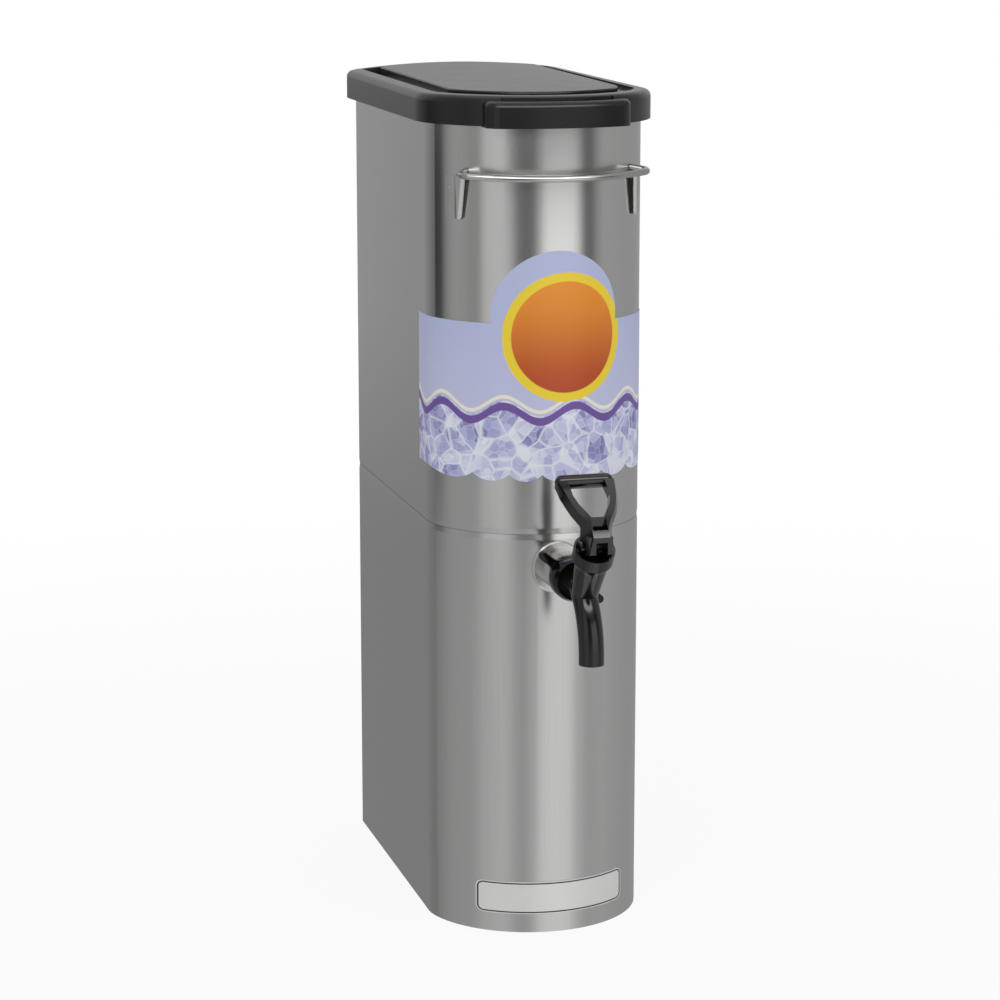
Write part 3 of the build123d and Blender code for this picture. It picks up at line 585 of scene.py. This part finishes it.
@dataclass(frozen=True)
class BarePlate:
    """Satin plate with a thin dark line inside its edge and no lettering."""

    name: str = "bare_plate_finish"
    half_width: float = 0.0560
    bottom: float = 0.0144
    top: float = 0.0388
    corner: float = 0.005
    line_inset: float = 0.0012
    line_full: float = 0.0004
    line_none: float = 0.0006
    line_colour: Colour = (0.02, 0.02, 0.02, 1.0)
    colour: Colour = (0.78, 0.78, 0.77, 1.0)
    mottle_colour: Colour = (0.84, 0.84, 0.83, 1.0)
    mottle_scale: float = 500.0
    metal: float = 0.25
    roughness: float = 0.38
    depth: float = 0.000004

    def from_edge(self, graph: Graph) -> Socket:
        """Measures from the plate's rounded outline.

        Args:
            graph: The material's graph.

        Returns:
            The distance's socket, below 0 inside the outline.
        """
        place = graph.split(graph.here())
        straight = self.half_width - self.corner
        across = graph.maths("SUBTRACT", graph.maths("ABSOLUTE", place.outputs["X"]), straight)
        level = graph.maths("SUBTRACT", place.outputs["Z"], (self.top + self.bottom) / 2)
        upright = (self.top - self.bottom) / 2 - self.corner
        up = graph.maths("SUBTRACT", graph.maths("ABSOLUTE", level), upright)
        outside = graph.length(graph.maths("MAXIMUM", across, 0.0), graph.maths("MAXIMUM", up, 0.0))
        inside = graph.maths("MINIMUM", graph.maths("MAXIMUM", across, up), 0.0)
        return graph.maths("SUBTRACT", graph.maths("ADD", outside, inside), self.corner)

    def material(self) -> bpy.types.Material:
        """Makes the material.

        Returns:
            The finished material.
        """
        material, graph, shader = start_material(self.name)
        line = graph.within(self.from_edge(graph), -self.line_inset, self.line_full, self.line_none)
        mottle = graph.noise(graph.here(), self.mottle_scale)
        plain = graph.mix(mottle, self.colour, self.mottle_colour)
        graph.join(graph.mix(line, plain, self.line_colour), shader.inputs["Base Color"])
        bare = graph.maths("SUBTRACT", 1.0, line)
        graph.join(graph.maths("MULTIPLY", bare, self.metal), shader.inputs["Metallic"])
        shader.inputs["Roughness"].default_value = self.roughness
        add_bump(graph, shader, mottle, self.depth)
        return material


@dataclass(frozen=True)
class CrystalGround:
    """Small crystal-like facets in two sizes, with pale edges."""

    bend_scale: float = 60.0
    bend_reach: Triple = (0.006, 0.006, 0.0)
    broad_scale: float = 62.0
    fine_scale: float = 150.0
    broad_share: float = 0.45
    fine_share: float = 0.4
    reach_share: float = 0.25
    edge_width: float = 0.07
    broad_glint: float = 0.8
    fine_glint: float = 0.35
    glint_colour: Colour = (0.88, 0.90, 0.98, 1.0)
    # Levels and their tones, from the darkest facet to the lightest
    tones: tuple[tuple[float, Colour], ...] = (
        (0.12, (0.20, 0.19, 0.46, 1.0)),
        (0.32, (0.36, 0.36, 0.66, 1.0)),
        (0.52, (0.50, 0.53, 0.80, 1.0)),
        (0.72, (0.66, 0.70, 0.90, 1.0)),
        (0.95, (0.86, 0.88, 0.98, 1.0)))

    def bent(self, graph: Graph, along: Socket, height: Socket) -> Socket:
        """Bends the film's coordinates a little, so that no facet repeats.

        Args:
            graph: The material's graph.
            along: Distance round the front.
            height: Height above the base.

        Returns:
            The bent coordinates' socket.
        """
        point = graph.add("ShaderNodeCombineXYZ")
        graph.join(along, point.inputs["X"])
        graph.join(height, point.inputs["Y"])
        bend = graph.add("ShaderNodeTexNoise")
        graph.join(point.outputs["Vector"], bend.inputs["Vector"])
        bend.inputs["Scale"].default_value = self.bend_scale
        shift = graph.add("ShaderNodeVectorMath", operation="MULTIPLY_ADD")
        graph.join(bend.outputs["Color"], shift.inputs[0])
        shift.inputs[1].default_value = self.bend_reach
        graph.join(point.outputs["Vector"], shift.inputs[2])
        return shift.outputs["Vector"]

    def cells(self, graph: Graph, where: Socket, scale: float) -> tuple[Socket, Socket, Socket]:
        """Adds one size of facet.

        Args:
            graph: The material's graph.
            where: The coordinates' socket.
            scale: Facets a metre.

        Returns:
            Sockets of each facet's level, of its edges and of the distance from its middle.
        """
        facets = graph.add("ShaderNodeTexVoronoi", feature="F1", distance="EUCLIDEAN")
        edges = graph.add("ShaderNodeTexVoronoi", feature="DISTANCE_TO_EDGE")
        for node in (facets, edges):
            graph.join(where, node.inputs["Vector"])
            node.inputs["Scale"].default_value = scale
        tint = graph.add("ShaderNodeSeparateColor")
        graph.join(facets.outputs["Color"], tint.inputs["Color"])
        edge = graph.smooth(edges.outputs["Distance"], self.edge_width, 0.0)
        return tint.outputs["Red"], edge, facets.outputs["Distance"]

    def colour(self, graph: Graph, along: Socket, height: Socket) -> Socket:
        """Colours the facets.

        Args:
            graph: The material's graph.
            along: Distance round the front.
            height: Height above the base.

        Returns:
            The colour's socket.
        """
        where = self.bent(graph, along, height)
        broad, broad_edge, reach = self.cells(graph, where, self.broad_scale)
        fine, fine_edge, _ = self.cells(graph, where, self.fine_scale)
        level = graph.maths("MULTIPLY", broad, self.broad_share)
        for part, share in ((fine, self.fine_share), (reach, self.reach_share)):
            level = graph.maths("ADD", level, graph.maths("MULTIPLY", part, share))
        ramp = graph.add("ShaderNodeValToRGB")
        graph.join(level, ramp.inputs["Fac"])
        stops = ramp.color_ramp.elements
        for stop, (position, tone) in zip(stops, (self.tones[0], self.tones[-1])):
            stop.position, stop.color = position, tone
        for position, tone in self.tones[1:-1]:
            stops.new(position).color = tone
        broad_light = graph.maths("MULTIPLY", broad_edge, self.broad_glint)
        glint = graph.maths("MAXIMUM", broad_light, graph.maths("MULTIPLY", fine_edge, self.fine_glint))
        return graph.mix(glint, ramp.outputs["Color"], self.glint_colour)


@dataclass(frozen=True)
class PrintedBand:
    """Printed film: pale lilac over crystal facets, violet waves, and an amber disc with a yellow ring."""

    name: str = "printed_band_finish"
    crystals: CrystalGround = CrystalGround()
    ground_low: float = 0.345
    ground_high: float = 0.47
    ground_colour: Colour = (0.62, 0.62, 0.84, 1.0)
    ground_high_colour: Colour = (0.50, 0.55, 0.80, 1.0)
    print_fade: float = 0.0004
    wave_height: float = 0.3930
    wave_rise: float = 0.0055
    wave_length: float = 0.052
    # Each stripe: place below the wave's crest, distance to its full tone and to its end, and tone
    stripes: tuple[tuple[float, float, float, Colour], ...] = (
        (0.004, 0.0026, 0.0032, (0.17, 0.09, 0.36, 1.0)),
        (-0.003, 0.0011, 0.0016, (0.93, 0.88, 0.74, 1.0)))
    disc_place: tuple[float, float] = (0.006, 0.4440)
    disc_radius: float = 0.040
    disc_low_colour: Colour = (0.50, 0.065, 0.008, 1.0)
    disc_high_colour: Colour = (0.90, 0.30, 0.02, 1.0)
    ring_width: float = 0.0065
    ring_colour: Colour = (0.93, 0.70, 0.03, 1.0)
    roughness: float = 0.42
    grain: float = 1200.0
    depth: float = 0.000004

    def around(self, graph: Graph) -> tuple[Socket, Socket]:
        """Unrolls the band.

        Args:
            graph: The material's graph.

        Returns:
            Sockets of the distance round the front and of the height, in metres.
        """
        place = graph.split(graph.here())
        depth = graph.maths("SUBTRACT", FRONT_CENTRE_Y, place.outputs["Y"])
        angle = graph.maths("ARCTAN2", place.outputs["X"], depth)
        return graph.maths("MULTIPLY", angle, FRONT_RADIUS), place.outputs["Z"]

    def below_wave(self, graph: Graph, along: Socket, height: Socket) -> Socket:
        """Measures down from the wave's crest line.

        Args:
            graph: The material's graph.
            along: Distance round the front.
            height: Height above the base.

        Returns:
            The distance's socket, above 0 under the wave.
        """
        swell = graph.maths("SINE", graph.maths("MULTIPLY", along, 2 * math.pi / self.wave_length))
        crest = graph.maths("ADD", graph.maths("MULTIPLY", swell, self.wave_rise), self.wave_height)
        return graph.maths("SUBTRACT", crest, height)

    def disc(self, graph: Graph, under: Socket, along: Socket, height: Socket, below: Socket) -> Socket:
        """Prints the disc and its ring, which end at the wave.

        Args:
            graph: The material's graph.
            under: Colour of the film under the disc.
            along: Distance round the front.
            height: Height above the base.
            below: Distance under the wave.

        Returns:
            The colour's socket.
        """
        side = graph.maths("SUBTRACT", along, self.disc_place[0])
        rise = graph.maths("SUBTRACT", height, self.disc_place[1])
        reach = graph.length(side, rise)
        glow = graph.smooth(rise, -self.disc_radius, self.disc_radius)
        warm = graph.mix(glow, self.disc_low_colour, self.disc_high_colour)
        above_wave = graph.smooth(below, self.print_fade, -self.print_fade)
        colour = under
        outer = self.disc_radius + self.ring_width
        for radius, tone in ((outer, self.ring_colour), (self.disc_radius, warm)):
            round_mask = graph.smooth(reach, radius + self.print_fade, radius - self.print_fade)
            colour = graph.mix(graph.maths("MULTIPLY", round_mask, above_wave), colour, tone)
        return colour

    def material(self) -> bpy.types.Material:
        """Makes the material.

        Returns:
            The finished material.
        """
        material, graph, shader = start_material(self.name)
        along, height = self.around(graph)
        rise = graph.smooth(height, self.ground_low, self.ground_high)
        ground = graph.mix(rise, self.ground_colour, self.ground_high_colour)
        below = self.below_wave(graph, along, height)
        crystals = self.crystals.colour(graph, along, height)
        colour = graph.mix(graph.smooth(below, -self.print_fade, self.print_fade), ground, crystals)
        for middle, full, none, tone in self.stripes:
            colour = graph.mix(graph.within(below, middle, full, none), colour, tone)
        colour = self.disc(graph, colour, along, height, below)
        graph.join(colour, shader.inputs["Base Color"])
        shader.inputs["Roughness"].default_value = self.roughness
        add_bump(graph, shader, graph.noise(graph.here(), self.grain), self.depth)
        return material


@dataclass(frozen=True)
class FloorPaper:
    """Pale paper that keeps the shadow and is nearly white where it is seen."""

    name: str = "floor_paper"
    colour: Colour = (0.9, 0.9, 0.9, 1.0)
    roughness: float = 0.9
    near_share: float = 0.9
    far_share: float = 0.1
    near: float = 0.35
    far: float = 1.6

    def material(self) -> bpy.types.Material:
        """Makes the material.

        Returns:
            The finished material.
        """
        material, graph, shader = start_material(self.name)
        shader.inputs["Base Color"].default_value = self.colour
        shader.inputs["Roughness"].default_value = self.roughness
        shader.inputs["Specular IOR Level"].default_value = 0.0
        glow = graph.add("ShaderNodeEmission")
        reach = graph.add("ShaderNodeVectorMath", operation="LENGTH")
        graph.join(graph.here(), reach.inputs[0])
        away = graph.smooth(reach.outputs["Value"], self.near, self.far)
        share = graph.maths("ADD", self.near_share, graph.maths("MULTIPLY", away, self.far_share))
        blend = graph.add("ShaderNodeMixShader")
        graph.join(graph.maths("MULTIPLY", seen_directly(graph), share), blend.inputs["Fac"])
        graph.join(shader.outputs["BSDF"], blend.inputs[1])
        graph.join(glow.outputs["Emission"], blend.inputs[2])
        output = material.node_tree.nodes["Material Output"]
        graph.join(blend.outputs["Shader"], output.inputs["Surface"])
        return material


@dataclass(frozen=True)
class TentCloth:
    """Glowing cloth of the tent: two rows of upright bands, and a pale roof with a bright panel."""

    name: str = "light_tent_cloth"
    # Degrees from the front and brightness of each band, and heights where the upper row takes over
    upper: Levels = (
        (-180, 0.44), (-165, 0.42), (-158, 0.35), (-150, 0.34), (-122, 0.26), (-114, 0.02), (-103, 0.03),
        (-97, 0.32), (-84, 0.46), (-70, 0.40), (-58, 0.32), (-51, 0.72), (-35, 0.76), (-28, 0.64),
        (-22, 0.20), (-12, 0.12), (-7, 0.27), (-1, 0.98), (3, 1.28), (22, 1.30), (28, 1.22), (32, 0.66),
        (36, 0.16), (43, 0.14), (48, 0.34), (56, 0.50), (70, 0.46), (120, 0.40), (180, 0.44))
    lower: Levels = (
        (-180, 0.28), (-150, 0.28), (-116, 0.26), (-104, 0.36), (-90, 0.42), (-64, 0.44), (-54, 0.56),
        (-34, 0.66), (-28, 0.58), (-18, 0.42), (-10, 0.52), (-3, 0.78), (3, 0.90), (23, 0.90), (28, 0.72),
        (40, 0.48), (60, 0.52), (80, 0.46), (180, 0.28))
    upper_start: float = 0.12
    upper_full: float = 0.40
    # Dark strip under the lid's lip: radians from the front, then heights
    lip_turn: float = 0.09
    lip_full: float = 0.56
    lip_none: float = 0.70
    lip_start: float = 0.485
    lip_end: float = 0.53
    lip_share: float = 0.75
    lip_colour: Colour = (0.04, 0.04, 0.04, 1.0)
    # Roof: heights where it takes over, levels, and radians from the front where the rear part starts
    roof_start: float = 0.56
    roof_full: float = 0.64
    roof_level: float = 0.45
    rear_level: float = 0.22
    rear_start: float = 1.7
    rear_full: float = 2.2
    # Bright panel: radians from the front, then heights of its soft edges
    panel_level: float = 4.5
    panel_turn: float = -0.1
    panel_full: float = 0.55
    panel_none: float = 0.75
    panel_bottom: tuple[float, float] = (0.68, 0.76)
    panel_top: tuple[float, float] = (1.02, 0.92)

    def row(self, graph: Graph, turn: Socket, levels: Levels) -> Socket:
        """Adds one row of the tent's levels round the object.

        Args:
            graph: The cloth's graph.
            turn: Share of a turn, from 0 behind through 0.5 in front to 1 behind.
            levels: Pairs of degrees from the front and brightness.

        Returns:
            The level's socket.
        """
        ramp = graph.add("ShaderNodeValToRGB")
        graph.join(turn, ramp.inputs["Fac"])
        stops = ramp.color_ramp.elements
        for stop, (degrees, level) in zip(stops, (levels[0], levels[-1])):
            stop.position, stop.color = degrees / 360.0 + 0.5, (level, level, level, 1.0)
        for degrees, level in levels[1:-1]:
            stops.new(degrees / 360.0 + 0.5).color = (level, level, level, 1.0)
        return ramp.outputs["Color"]

    def roof(self, graph: Graph, angle: Socket, height: Socket) -> Socket:
        """Adds the roof with its panel.

        Args:
            graph: The cloth's graph.
            angle: Angle from the front.
            height: Height above the base.

        Returns:
            The level's socket.
        """
        front = graph.within(angle, self.panel_turn, self.panel_full, self.panel_none)
        tall = graph.maths(
            "MULTIPLY", graph.smooth(height, *self.panel_bottom), graph.smooth(height, *self.panel_top))
        panel = graph.maths("MULTIPLY", graph.maths("MULTIPLY", front, tall), self.panel_level)
        behind = graph.smooth(graph.maths("ABSOLUTE", angle), self.rear_start, self.rear_full)
        rear = graph.maths("MULTIPLY", behind, self.rear_level)
        return graph.maths("ADD", graph.maths("ADD", panel, rear), self.roof_level)

    def material(self) -> bpy.types.Material:
        """Makes the material.

        Returns:
            The finished material.
        """
        material, graph, shader = start_material(self.name)
        graph.tree.nodes.remove(shader)
        place = graph.split(graph.here())
        height = place.outputs["Z"]
        forward = graph.maths("MULTIPLY", place.outputs["Y"], -1.0)
        angle = graph.maths("ARCTAN2", place.outputs["X"], forward)
        turn = graph.maths("ADD", graph.maths("DIVIDE", angle, 2 * math.pi), 0.5)
        climb = graph.smooth(height, self.upper_start, self.upper_full)
        rows = graph.mix(climb, self.row(graph, turn, self.lower), self.row(graph, turn, self.upper))
        under_lip = graph.within(angle, self.lip_turn, self.lip_full, self.lip_none)
        strip = graph.maths("MULTIPLY", under_lip, graph.smooth(height, self.lip_start, self.lip_end))
        walls = graph.mix(graph.maths("MULTIPLY", strip, self.lip_share), rows, self.lip_colour)
        over = graph.smooth(height, self.roof_start, self.roof_full)
        glow = graph.add("ShaderNodeEmission")
        graph.join(graph.mix(over, walls, self.roof(graph, angle, height)), glow.inputs["Color"])
        output = material.node_tree.nodes["Material Output"]
        graph.join(glow.outputs["Emission"], output.inputs["Surface"])
        return material


# Sub-assemblies


def link_object(name: str, data: bpy.types.ID) -> bpy.types.Object:
    """Makes an object and links it to the scene.

    Args:
        name: The object's name.
        data: Its mesh, camera or light.

    Returns:
        The new object.
    """
    made = bpy.data.objects.new(name, data)
    bpy.context.scene.collection.objects.link(made)
    return made


def dress(node: str, material: bpy.types.Material) -> None:
    """Puts a material in every slot of a CAD node.

    Args:
        node: The CAD node's name.
        material: The material.
    """
    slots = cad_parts[node].material_slots
    if not slots:
        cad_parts[node].data.materials.append(material)
    for one in slots:
        one.material = material
    LOG.info("dressed %s", node)


@dataclass(frozen=True)
class SoftEdges:
    """Small rounding of the hard edges that a moulded piece has."""

    width: float
    segments: int = 3
    least_angle: float = 32.0
    merge_reach: float = 0.000002
    flat_angle: float = 0.5

    def tidy_mesh(self, mesh: bpy.types.Mesh) -> None:
        """Merges a copied mesh's loose triangles and joins its flat faces.

        Args:
            mesh: The mesh to change.
        """
        work = bmesh.new()
        work.from_mesh(mesh)
        bmesh.ops.remove_doubles(work, verts=work.verts, dist=self.merge_reach)
        bmesh.ops.dissolve_limit(
            work, angle_limit=math.radians(self.flat_angle), use_dissolve_boundaries=False,
            verts=work.verts, edges=work.edges)
        bmesh.ops.recalc_face_normals(work, faces=work.faces)
        work.to_mesh(mesh)
        work.free()

    def copy(self, node: str, name: str, body: Body) -> bpy.types.Object:
        """Copies a CAD node, rounds its hard edges and lets the copy stand for it.

        Args:
            node: The CAD node's name.
            name: The new piece's name.
            body: The body that it rides on.

        Returns:
            The new piece.
        """
        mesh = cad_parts[node].data.copy()
        mesh.name = name
        piece = link_object(name, mesh)
        self.tidy_mesh(mesh)
        if mesh.has_custom_normals:
            with bpy.context.temp_override(object=piece, active_object=piece, selected_objects=[piece]):
                bpy.ops.mesh.customdata_custom_splitnormals_clear()
        mesh.shade_smooth()
        bevel = piece.modifiers.new("soft_edges", "BEVEL")
        bevel.width = self.width
        bevel.segments = self.segments
        bevel.limit_method = "ANGLE"
        bevel.angle_limit = math.radians(self.least_angle)
        bevel.use_clamp_overlap = True
        bevel.harden_normals = True
        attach(piece, body.value)
        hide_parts(node)
        LOG.info("built %s", name)
        return piece


@dataclass
class TankAssembly:
    """Steel tank and base skirt, floor, outlet spigot, carrying rod and brackets."""

    sheet: BrushedSteel = BrushedSteel("body_steel_finish")
    inner: BrushedSteel = BrushedSteel(
        "inner_steel_finish", colour=(0.80, 0.795, 0.79, 1.0), roughness=0.4, metal=0.5)
    pressed: BracketWithPaintedHighlight = BracketWithPaintedHighlight()
    bright: PolishedMetal = PolishedMetal(
        "fitting_steel_finish", colour=(0.60, 0.595, 0.58, 1.0), roughness=0.24)
    rod: PolishedMetal = PolishedMetal("rod_steel_finish", colour=(0.46, 0.455, 0.445, 1.0), roughness=0.22)

    def build(self) -> None:
        """Dresses the tank's nodes."""
        sheet = self.sheet.material()
        for node in ("tank_shell", "base_skirt"):
            dress(node, sheet)
        dress("tank_floor", self.inner.material())
        dress("outlet_spigot", self.bright.material())
        pressed = self.pressed.material()
        for node in ("bracket_left", "bracket_right"):
            dress(node, pressed)
        dress("handle_rod", self.rod.material())


@dataclass
class LidAssembly:
    """Moulded lift-off lid."""

    plastic: MouldedPlastic = MouldedPlastic(
        "lid_plastic_finish", colour=(0.006, 0.006, 0.0068, 1.0), roughness=0.28, shine=0.45, depth=0.000003)

    def build(self) -> None:
        """Dresses the lid."""
        dress("lid", self.plastic.material())


@dataclass
class Signs:
    """Printed band and bare plate."""

    band: PrintedBand = PrintedBand()
    plate: BarePlate = BarePlate()

    def build(self) -> None:
        """Dresses the band and the plate."""
        dress("front_label", self.band.material())
        dress("nameplate", self.plate.material())


@dataclass
class TapAssembly:
    """Tap body with its nut, valve parts and lever."""

    body_edges: SoftEdges = SoftEdges(0.0006)
    lever_edges: SoftEdges = SoftEdges(0.0010)
    body_plastic: MouldedPlastic = MouldedPlastic("tap_plastic_finish", roughness=0.14, shine=0.55)
    nut_plastic: MouldedPlastic = MouldedPlastic(
        "nut_plastic_finish", colour=(0.002, 0.002, 0.0022, 1.0), roughness=0.1)
    lever_plastic: MouldedPlastic = MouldedPlastic("handle_plastic_finish", roughness=0.15, shine=0.65)
    stem_plastic: MouldedPlastic = MouldedPlastic("stem_plastic_finish")
    seal: SoftRubber = SoftRubber()
    small: PolishedMetal = PolishedMetal("spring_steel_finish", roughness=0.22)

    def build(self) -> None:
        """Dresses the tap's nodes and makes rounded copies of its body, nut and lever."""
        body = self.body_plastic.material()
        for node in ("tap_body", "tap_bonnet"):
            dress(node, body)
        dress("wing_nut", self.nut_plastic.material())
        barrel = self.body_edges.copy("tap_body", "cup_and_spout", Body.TANK)
        nut = self.body_edges.copy("wing_nut", "winged_nut", Body.TANK)
        dress("tap_stem", self.stem_plastic.material())
        rubber = self.seal.material()
        for node in ("seat_cup", "outlet_washer"):
            dress(node, rubber)
        steel = self.small.material()
        for node in ("tap_spring", "pivot_pin", "retaining_ring"):
            dress(node, steel)
        dress("tap_handle", self.lever_plastic.material())
        lever = self.lever_edges.copy("tap_handle", "lever_ring", Body.LEVER)


# Studio


@dataclass(frozen=True)
class SoftLamp:
    """Square soft lamp aimed at the object's middle, with its power in watts."""

    name: str
    place: Triple
    power: float
    size: float = 1.2
    aim: Triple = (0.0, -0.02, 0.32)

    def build(self) -> None:
        """Adds the lamp."""
        data = bpy.data.lights.new(self.name, "AREA")
        data.shape = "SQUARE"
        data.size = self.size
        data.energy = self.power
        lamp = link_object(self.name, data)
        lamp.location = self.place
        lamp.rotation_mode = "QUATERNION"
        lamp.rotation_quaternion = (Vector(self.aim) - Vector(self.place)).to_track_quat("-Z", "Y")
        lamp.visible_glossy = False


@dataclass
class Studio:
    """Camera, pale floor, soft lamps and a reflection tent round the object."""

    camera_place: Triple = (-0.60168, -2.22954, 0.77294)
    yaw: float = 0.26267
    pitch: float = 0.2038
    focal_mm: float = 110.53
    sensor_mm: float = 36.0
    clip_end: float = 20.0
    surround_level: float = 0.45
    floor_half: float = 6.0
    paper: FloorPaper = FloorPaper()
    tent_radius: float = 0.62
    tent_low: float = -0.9
    tent_high: float = 1.5
    tent_sides: int = 96
    cloth: TentCloth = TentCloth()
    lamps: tuple[SoftLamp, ...] = (
        SoftLamp("key_lamp", (-1.3, -1.7, 2.0), 17.0),
        SoftLamp("fill_lamp", (1.7, -1.3, 1.3), 9.0),
        SoftLamp("rear_lamp", (0.4, 1.9, 1.7), 8.0))

    def camera(self) -> None:
        """Adds the photograph's camera."""
        data = bpy.data.cameras.new("photo_camera")
        data.sensor_width = self.sensor_mm
        data.lens = self.focal_mm
        data.clip_end = self.clip_end
        camera = link_object("photo_camera", data)
        level = math.cos(self.pitch)
        ahead = Vector((math.sin(self.yaw) * level, math.cos(self.yaw) * level, -math.sin(self.pitch)))
        right = Vector((math.cos(self.yaw), -math.sin(self.yaw), 0.0))
        turn = Matrix((right, right.cross(ahead), -ahead)).transposed().to_4x4()
        camera.matrix_world = Matrix.Translation(self.camera_place) @ turn
        bpy.context.scene.camera = camera

    def world(self) -> None:
        """Sets a pale surround that is white where it is seen."""
        world = bpy.data.worlds.new("studio_surround")
        bpy.context.scene.world = world
        world.use_nodes = True
        graph = Graph(world.node_tree)
        background = world.node_tree.nodes["Background"]
        level = graph.add("ShaderNodeMapRange")
        graph.join(seen_directly(graph), level.inputs["Value"])
        level.inputs["To Min"].default_value = self.surround_level
        level.inputs["To Max"].default_value = 1.0
        background.inputs["Color"].default_value = (1.0, 1.0, 1.0, 1.0)
        graph.join(level.outputs["Result"], background.inputs["Strength"])

    def set_up(self, name: str, work: bmesh.types.BMesh, material: bpy.types.Material) -> bpy.types.Object:
        """Makes a stage object from a bmesh.

        Args:
            name: The object's name.
            work: Its shape, which is freed here.
            material: Its material.

        Returns:
            The new object.
        """
        mesh = bpy.data.meshes.new(name)
        work.to_mesh(mesh)
        work.free()
        mesh.materials.append(material)
        return link_object(name, mesh)

    def floor(self) -> None:
        """Adds a plain pale floor."""
        work = bmesh.new()
        bmesh.ops.create_grid(work, x_segments=1, y_segments=1, size=self.floor_half)
        floor = self.set_up("floor", work, self.paper.material())
        floor.visible_glossy = False

    def tent(self) -> None:
        """Adds an open tube of cloth round the object, which only glossy rays see."""
        work = bmesh.new()
        middle = Matrix.Translation((0.0, 0.0, (self.tent_high + self.tent_low) / 2))
        bmesh.ops.create_cone(
            work, cap_ends=False, segments=self.tent_sides, radius1=self.tent_radius,
            radius2=self.tent_radius, depth=self.tent_high - self.tent_low, matrix=middle)
        tent = self.set_up("light_tent", work, self.cloth.material())
        tent.visible_camera = False
        tent.visible_diffuse = False
        tent.visible_shadow = False

    def build(self) -> None:
        """Sets up the whole studio."""
        bpy.context.scene.view_settings.view_transform = "Standard"
        self.camera()
        self.world()
        self.floor()
        self.tent()
        for lamp in self.lamps:
            lamp.build()


def main() -> None:
    """Builds the studio and every piece in order."""
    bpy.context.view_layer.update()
    for assembly in (Studio(), TankAssembly(), LidAssembly(), Signs(), TapAssembly()):
        assembly.build()
        LOG.info("finished %s", type(assembly).__name__)


if __name__ == "__main__":
    main()
